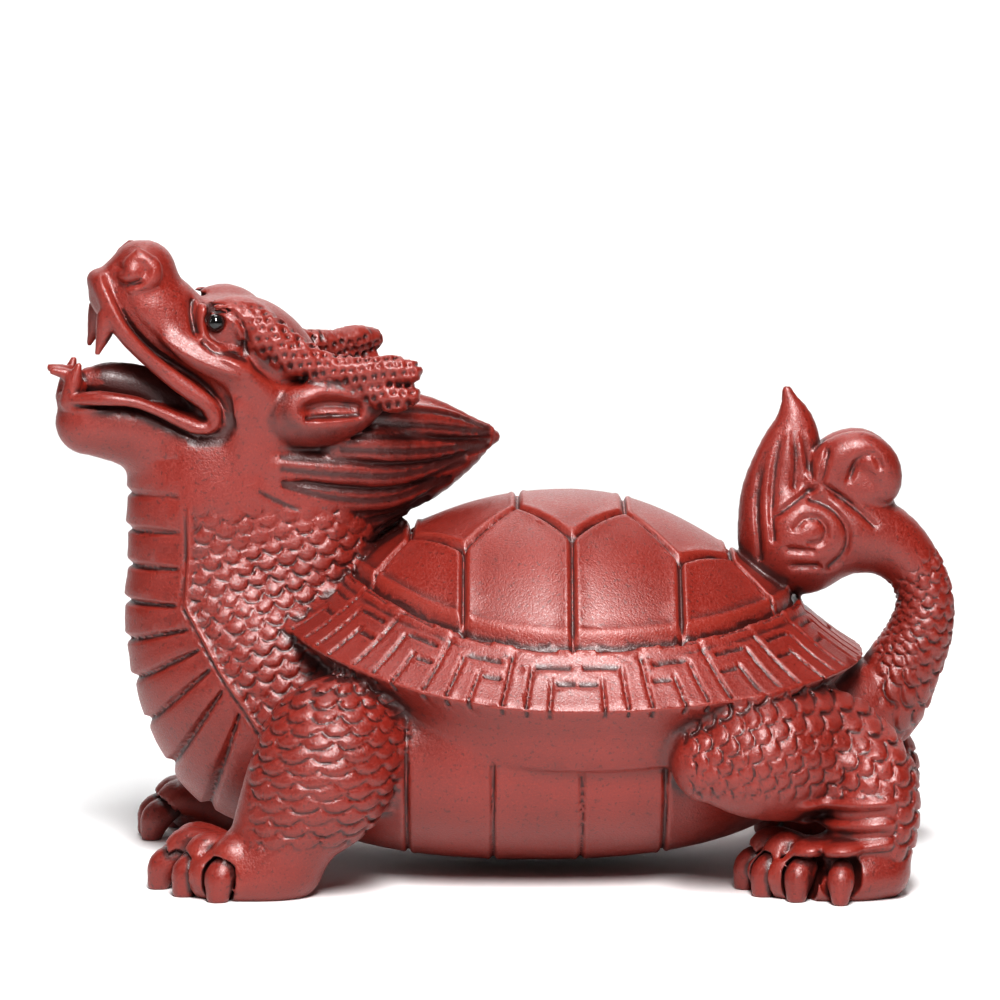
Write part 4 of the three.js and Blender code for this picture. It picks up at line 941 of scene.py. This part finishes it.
def head(b, limit):
    if math.dist(HEAD_BALL[0], b.centre) - HEAD_BALL[1] - b.radius > limit:
        return None
    m = INTO_HEAD
    x, y, z = (m[i, 0] * b.x + m[i, 1] * b.y + m[i, 2] * b.z + m[i, 3] for i in range(3))
    centre = tuple(m[:3, :3] @ np.asarray(b.centre) + m[:3, 3])
    whole = Block(x, y, z, centre, b.radius, b.limit)
    half = whole.mirrored()
    d = work(HEAD_STEPS, half)
    if d is None:
        return None
    gap = JAW_EDGE.at(x, z, MARGIN - float(d.min()))
    if gap is not None:
        d = soft_max(d, np.where(within(JAW_GAP, x, z), gap, -gap), JAW_SOFTNESS)
    d = NOSTRIL(MOUTH(d, whole), half)
    d = TONGUE(skinned(d, half, face_lines), whole)
    d = work(TEETH_STEPS, half, d)
    bead = np.sqrt((x - BEAD_AT[0]) ** 2 + (half.y - BEAD_AT[1]) ** 2 + (z - BEAD_AT[2]) ** 2)
    return np.maximum(d, EYE_BEAD_DIAMETER / 2 + EYE_BEAD_GAP - bead)


# The whole figure: each part with the softness of its join to the parts before it
JOINS = [(shell, 0.0), (belly, 0.6), (neck, 1.2), (legs, 1.6), (tail, 1.0), (head, 2.0)]


def figure(b):
    d = None
    for part, blend in JOINS:
        other = part(b, b.limit + blend)
        if other is not None:
            d = other if d is None else soft_min(d, other, blend)
    if d is None:
        d = np.full(np.shape(b.x), b.limit, np.float32)
    return np.maximum(d, -b.z)


# The field on a grid, only in blocks near the surface. Steps are of the grid
LOW = np.array((-64.0, -38.0, -1.2))
HIGH = np.array((64.0, 38.0, 86.0))
BLOCK = 16  # steps along the side of a block
GROUP = 4  # blocks along the side of a group
FAR = 4.0
SLACK = 1.6  # how many times faster than true distance the field may change
NEAR_STEPS = 1.8  # from a coarse point's own cell, where fine points are still worked out
LIMIT_STEPS = 8


def lattice(corner, counts, step):
    axes = [corner[i] + step * np.arange(counts[i], dtype=np.float32) for i in range(3)]
    x, y, z = (a.ravel() for a in np.meshgrid(*axes, indexing="ij"))
    middle = tuple(float(corner[i] + step * (counts[i] - 1) / 2) for i in range(3))
    radius = step * math.hypot(*(c - 1 for c in counts)) / 2
    return Block(x.astype(np.float32), y.astype(np.float32), z.astype(np.float32), middle, radius)


def some(b, chosen, limit):
    return Block(b.x[chosen], b.y[chosen], b.z[chosen], b.centre, b.radius, limit)


def sample_field(field, step):
    """The field's values on a grid over the bounds. Away from the surface only the side is right."""
    groups = np.ceil((HIGH - LOW) / (step * BLOCK * GROUP)).astype(int)
    values = np.full(groups * BLOCK * GROUP, FAR, np.float32)
    side = step * BLOCK
    spread = step * (BLOCK - 1) * math.sqrt(3) / 2
    for group in np.ndindex(*groups):
        first = LOW + np.array(group) * side * GROUP + step * (BLOCK - 1) / 2
        middles = lattice(first, (GROUP,) * 3, side)
        across = field(middles).reshape((GROUP,) * 3)
        for inner in np.ndindex(GROUP, GROUP, GROUP):
            d = float(across[inner])
            index = np.array(group) * GROUP + inner
            place = tuple(slice(i * BLOCK, (i + 1) * BLOCK) for i in index)
            if abs(d) > spread * SLACK + MARGIN:
                values[place] = math.copysign(FAR, d)
                continue
            values[place] = fill_block(field, LOW + index * side, step, d + spread * SLACK + MARGIN)
    return values


def fill_block(field, corner, step, limit):
    """Every second point first, then each point that has the surface near it."""
    half = BLOCK // 2
    coarse = lattice(corner + step / 2, (half,) * 3, step * 2)
    coarse.limit = limit
    d = field(coarse).reshape((half,) * 3)
    d = d.repeat(2, 0).repeat(2, 1).repeat(2, 2).astype(np.float32).ravel()
    fine = lattice(corner, (BLOCK,) * 3, step)
    near = np.abs(d) < step * (math.sqrt(3) / 2 + NEAR_STEPS) * SLACK
    if near.any():
        d[near] = field(some(fine, near, min(limit, step * LIMIT_STEPS)))
    return d.reshape((BLOCK,) * 3)


def skin(values, step):
    """The surface of the sampled field as vertices and triangles, in mm."""
    grid = openvdb.FloatGrid(FAR)
    grid.copyFromArray(values)
    points, triangles, quads = grid.convertToPolygons(isovalue=0.0, adaptivity=0.0)
    faces = np.vstack([triangles.reshape(-1, 3), quads[:, (0, 1, 2)], quads[:, (0, 2, 3)]])
    return points * step + LOW, faces


def field_at(values, step, points):
    """The sampled field's value at each point, from the eight samples round it."""
    place = (points - LOW) / step
    low = np.clip(np.floor(place).astype(int), 0, np.array(values.shape) - 2)
    share = place - low
    total = np.zeros(len(points))
    for corner in np.ndindex(2, 2, 2):
        weight = np.prod(np.where(np.array(corner) == 1, share, 1 - share), axis=1)
        total += weight * values[tuple((low + corner).T)]
    return total


def in_scene(obj):
    bpy.context.scene.collection.objects.link(obj)
    return obj


def new_object(name, points, faces):
    mesh = bpy.data.meshes.new(name)
    mesh.from_pydata(points, [], faces)
    mesh.validate()
    return in_scene(bpy.data.objects.new(name, mesh))


def thinned(obj, target):
    count = len(obj.data.polygons)
    if count <= target:
        return
    obj.modifiers.new("fewer", "DECIMATE").ratio = target / count
    depsgraph = bpy.context.evaluated_depsgraph_get()
    old = obj.data
    obj.data = bpy.data.meshes.new_from_object(obj.evaluated_get(depsgraph))
    obj.modifiers.clear()
    bpy.data.meshes.remove(old)


# Where the figure stands in the frame, which the left eye bead shows
LEFT_BEAD = HEAD_FRAME @ Vector((BEAD_AT[0], -BEAD_AT[1], BEAD_AT[2]))
BEAD_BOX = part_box("eye_bead_left")
SHIFT = (BEAD_BOX[0] + BEAD_BOX[1]) / 2 - LEFT_BEAD * MM

MOUTH_FRONT = -15.6
MOUTH_HALF = 4.7
OPEN_REACH = 0.7  # how far off the surface its openness is taken
SHUT_IN = 0.8  # less room than this share of the reach darkens the clay further, as painted shade in narrow cuts


def in_mouth(points):
    """Which points lie inside the mouth, behind the teeth. The clay there is painted near-black as shade.
    """
    x, y, z = (points @ INTO_HEAD[:3, :3].T + INTO_HEAD[:3, 3]).T
    return within(JAW_GAP, x, z) & (np.abs(y) < MOUTH_HALF) & (x > MOUTH_FRONT)


def mark_openness(body, values, step):
    """Stores for each vertex how open the clay is there: 0.5 where flat, less in cuts, more on edges. The
    clay's material paints shade where it is low and a highlight where it is high.
    """
    mesh = body.data
    points = np.empty(len(mesh.vertices) * 3, np.float32)
    normals = np.empty(len(mesh.vertices) * 3, np.float32)
    mesh.vertices.foreach_get("co", points)
    mesh.vertex_normals.foreach_get("vector", normals)
    points = (points.reshape(-1, 3) - np.array(SHIFT)) / MM
    normals = normals.reshape(-1, 3)
    outside = field_at(values, step, points + normals * OPEN_REACH)
    inside = -field_at(values, step, points - normals * OPEN_REACH)
    openness = np.clip(0.5 + (outside - inside) / (2 * OPEN_REACH), 0, 1)
    openness = np.clip(openness + np.minimum(outside / OPEN_REACH - SHUT_IN, 0), 0, 1)
    # The inside of the mouth is painted in full shade
    openness = np.where(in_mouth(points), 0, openness).astype(np.float32)
    mesh.attributes.new("openness", "FLOAT", "POINT").data.foreach_set("value", openness)


def clay_body():
    step = CELL * 1
    values = sample_field(figure, step)
    points, faces = skin(values, step)
    low, high = (np.array(corner) / MM - np.array(SHIFT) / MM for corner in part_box("dragon_turtle"))
    body = new_object("clay_body", np.clip(points, low, high) * MM + np.array(SHIFT), faces)
    thinned(body, TRIANGLES)
    mark_openness(body, values, step)
    body.data.shade_smooth()
    return body


def eye_bead(name, node):
    """A polished bead in the place of its solid, and rounder."""
    low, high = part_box(node)
    bpy.ops.mesh.primitive_uv_sphere_add(
        segments=48, ring_count=32, radius=EYE_BEAD_DIAMETER / 2 * MM, location=(0, 0, 0)
    )
    bead = bpy.context.object
    bead.name = name
    bead.data.transform(Matrix.Translation((low + high) / 2))
    bead.data.shade_smooth()
    return bead


# Materials
class Finish:
    """A material and the nodes that make its look."""

    def __init__(self, name):
        self.material = bpy.data.materials.new(name)
        self.material.use_nodes = True
        self.nodes, self.links = self.material.node_tree.nodes, self.material.node_tree.links
        self.shader = self.nodes["Principled BSDF"]
        self.place = self.nodes.new("ShaderNodeTexCoord").outputs["Object"]

    def give(self, socket, value):
        """Links a socket to another one, or sets it to a number or a colour."""
        if isinstance(value, bpy.types.NodeSocket):
            self.links.new(value, socket)
        else:
            socket.default_value = (*value, 1) if isinstance(value, tuple) else value

    def set(self, values):
        for name, value in values.items():
            self.give(self.shader.inputs[name], value)

    def noise(self, grain_mm, detail, roughness=0.5):
        node = self.nodes.new("ShaderNodeTexNoise")
        node.inputs["Scale"].default_value = 1 / (grain_mm * MM)
        node.inputs["Detail"].default_value = detail
        node.inputs["Roughness"].default_value = roughness
        self.give(node.inputs["Vector"], self.place)
        return node.outputs["Fac"]

    def grey(self, value, stops):
        """A ramp between two stops, each a place and the level there."""
        node = self.nodes.new("ShaderNodeValToRGB")
        for element, (place, level) in zip(node.color_ramp.elements, stops):
            element.position = place
            element.color = (level, level, level, 1)
        self.give(node.inputs["Fac"], value)
        return node.outputs["Color"]

    def mixed(self, share, a, b):
        node = self.nodes.new("ShaderNodeMix")
        node.data_type = "RGBA"
        for index, value in ((0, share), (6, a), (7, b)):
            self.give(node.inputs[index], value)
        return node.outputs[2]

    def bump(self, height, distance_mm, strength):
        node = self.nodes.new("ShaderNodeBump")
        node.inputs["Distance"].default_value = distance_mm * MM
        node.inputs["Strength"].default_value = strength
        self.give(node.inputs["Height"], height)
        return node.outputs["Normal"]


# Near-black painted shade, laid into cuts and the inside of the mouth
CLAY_PAINTED_SHADE = (0.035, 0.003, 0.002)
CLAY_RED = (0.215, 0.014, 0.006)
CLAY_CLOUD = tuple(0.85 * c for c in CLAY_RED)
CLAY_SPECK = tuple(0.5 * c for c in CLAY_RED)
# Pale grains of the clay, and its painted highlight on raised edges
CLAY_PALE_GRAIN_AND_HIGHLIGHT = (0.30, 0.034, 0.018)
CLOUD_SHARE = ((0.35, 0), (0.65, 1))
GRAIN_SHARE = ((0.46, 0), (0.74, 0.6))
SPECK_SHARE = ((0.62, 0), (0.72, 0.8))
PAINTED_SHADE_SHARE = ((0.10, 0.85), (0.40, 0))
PAINTED_HIGHLIGHT_SHARE = ((0.58, 0), (0.8, 0.4))
CLAY_ROUGHNESS = ((0.35, 0.32), (0.65, 0.56))


def clay_material():
    """Grainy red clay, with painted shade in its cuts and inside the mouth, and a painted highlight on its
    edges.
    """
    finish = Finish("red_clay")
    cloud = finish.noise(grain_mm=9.0, detail=2)
    grain = finish.noise(grain_mm=0.28, detail=2, roughness=0.65)
    speck = finish.noise(grain_mm=0.5, detail=1)
    openness = finish.nodes.new("ShaderNodeAttribute")
    openness.attribute_name = "openness"
    depth = openness.outputs["Fac"]
    color = finish.mixed(finish.grey(cloud, CLOUD_SHARE), CLAY_RED, CLAY_CLOUD)
    color = finish.mixed(finish.grey(grain, GRAIN_SHARE), color, CLAY_PALE_GRAIN_AND_HIGHLIGHT)
    color = finish.mixed(finish.grey(speck, SPECK_SHARE), color, CLAY_SPECK)
    # Painted shade: near-black where little open room lies over the clay, in cuts and inside the mouth
    color = finish.mixed(finish.grey(depth, PAINTED_SHADE_SHARE), color, CLAY_PAINTED_SHADE)
    # Painted highlight: paler on raised edges, where openness is high
    color = finish.mixed(finish.grey(depth, PAINTED_HIGHLIGHT_SHARE), color, CLAY_PALE_GRAIN_AND_HIGHLIGHT)
    finish.set({
        "Base Color": color,
        "Roughness": finish.grey(grain, CLAY_ROUGHNESS),
        "Normal": finish.bump(grain, distance_mm=0.09, strength=0.8),
        "Specular IOR Level": 0.75,
        "Coat Weight": 0.3,
        "Coat Roughness": 0.34,
    })
    return finish.material


BEAD_BLACK = (0.004, 0.004, 0.004)
BEAD_BROWN = (0.012, 0.010, 0.010)
BEAD_SHARE = ((0.3, 0), (0.7, 1))


def bead_material():
    finish = Finish("eye_gloss")
    cloud = finish.noise(grain_mm=1.2, detail=2)
    finish.set({
        "Base Color": finish.mixed(finish.grey(cloud, BEAD_SHARE), BEAD_BLACK, BEAD_BROWN),
        "Roughness": 0.06,
        "Coat Weight": 0.6,
        "Coat Roughness": 0.03,
    })
    return finish.material


FLOOR_LEVELS = ((0.3, 0.90), (0.7, 0.92))


def floor_material():
    finish = Finish("pale_floor")
    cloud = finish.noise(grain_mm=60.0, detail=2)
    finish.set({"Base Color": finish.grey(cloud, FLOOR_LEVELS), "Roughness": 0.6})
    return finish.material


def dress(obj, material):
    obj.data.materials.clear()
    obj.data.materials.append(material)


# The floor, lights and camera. Sizes and places here are in metres
FLOOR_HALF = 3.0
FLOOR_FRONT = -2.0
FLOOR_BACK = 1.2
SWEEP_RADIUS = 0.8
SWEEP_TOP = 2.5
SWEEP_STEPS = 24
WORLD_LIGHT = 0.05
CAMERA_TARGET = Vector((-0.4, 0, 48.3)) * MM + SHIFT
BACKDROP_TARGET = Vector((0, 3.0, 1.4))
LIGHTS = {  # place, aim, width, height and power
    "key": ((0.03, -0.38, 0.46), CAMERA_TARGET, 0.12, 0.36, 6.0),
    "top": ((-0.05, 0.20, 0.80), CAMERA_TARGET, 0.30, 0.30, 1.6),
    "side": ((-0.55, -0.20, 0.30), CAMERA_TARGET, 0.10, 0.35, 0.4),
    "backdrop": ((0, 0.9, 2.2), BACKDROP_TARGET, 3.0, 1.0, 90.0),
}
CAMERA_DISTANCE = 0.6
CAMERA_RISE = math.radians(5.5)
VIEW_WIDTH = 0.1326  # what the picture takes in at the target
SENSOR_MM = 36.0


def stage_floor():
    """A pale sheet: a flat floor that sweeps up behind the figure in a wide curve."""
    turns = [math.pi / 2 * i / SWEEP_STEPS for i in range(SWEEP_STEPS + 1)]
    profile = [(FLOOR_FRONT, 0.0)]
    profile += [(FLOOR_BACK + SWEEP_RADIUS * math.sin(t), SWEEP_RADIUS * (1 - math.cos(t))) for t in turns]
    profile.append((FLOOR_BACK + SWEEP_RADIUS, SWEEP_TOP))
    points = [(x, y, z) for y, z in profile for x in (-FLOOR_HALF, FLOOR_HALF)]
    faces = [(2 * i, 2 * i + 1, 2 * i + 3, 2 * i + 2) for i in range(len(profile) - 1)]
    floor = new_object("pale_floor", points, faces)
    floor.data.shade_smooth()
    dress(floor, floor_material())


def area_light(name, place, aim, width, height, power):
    light = bpy.data.lights.new(name, "AREA")
    light.shape = "RECTANGLE"
    light.size, light.size_y = width, height
    light.energy = power
    obj = in_scene(bpy.data.objects.new(name, light))
    obj.location = place
    obj.rotation_euler = (aim - Vector(place)).to_track_quat("-Z", "Y").to_euler()


def studio_light():
    world = bpy.data.worlds.new("studio")
    world.use_nodes = True
    background = world.node_tree.nodes["Background"]
    background.inputs["Color"].default_value = (1, 1, 1, 1)
    background.inputs["Strength"].default_value = WORLD_LIGHT
    bpy.context.scene.world = world
    for name, setting in LIGHTS.items():
        area_light(name, *setting)


def photo_camera():
    camera = bpy.data.cameras.new("photo_camera")
    camera.sensor_width = SENSOR_MM
    camera.lens = SENSOR_MM * CAMERA_DISTANCE / VIEW_WIDTH
    camera.clip_end = 20
    obj = in_scene(bpy.data.objects.new("photo_camera", camera))
    forward = Vector((0, math.cos(CAMERA_RISE), -math.sin(CAMERA_RISE)))
    obj.location = CAMERA_TARGET - CAMERA_DISTANCE * forward
    obj.rotation_euler = forward.to_track_quat("-Z", "Y").to_euler()
    bpy.context.scene.camera = obj


def film():
    """Plain tones with a little more contrast, as the photo has them."""
    settings = bpy.context.scene.view_settings
    settings.view_transform = "Standard"
    settings.gamma = 0.8


body = clay_body()
dress(body, clay_material())
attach(body, "root")
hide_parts("dragon_turtle")

eye_gloss = bead_material()
for name in ("eye_bead_left", "eye_bead_right"):
    bead = eye_bead(name + "_glass", name)
    dress(bead, eye_gloss)
    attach(bead, "root")
    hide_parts(name)

stage_floor()
studio_light()
photo_camera()
film()
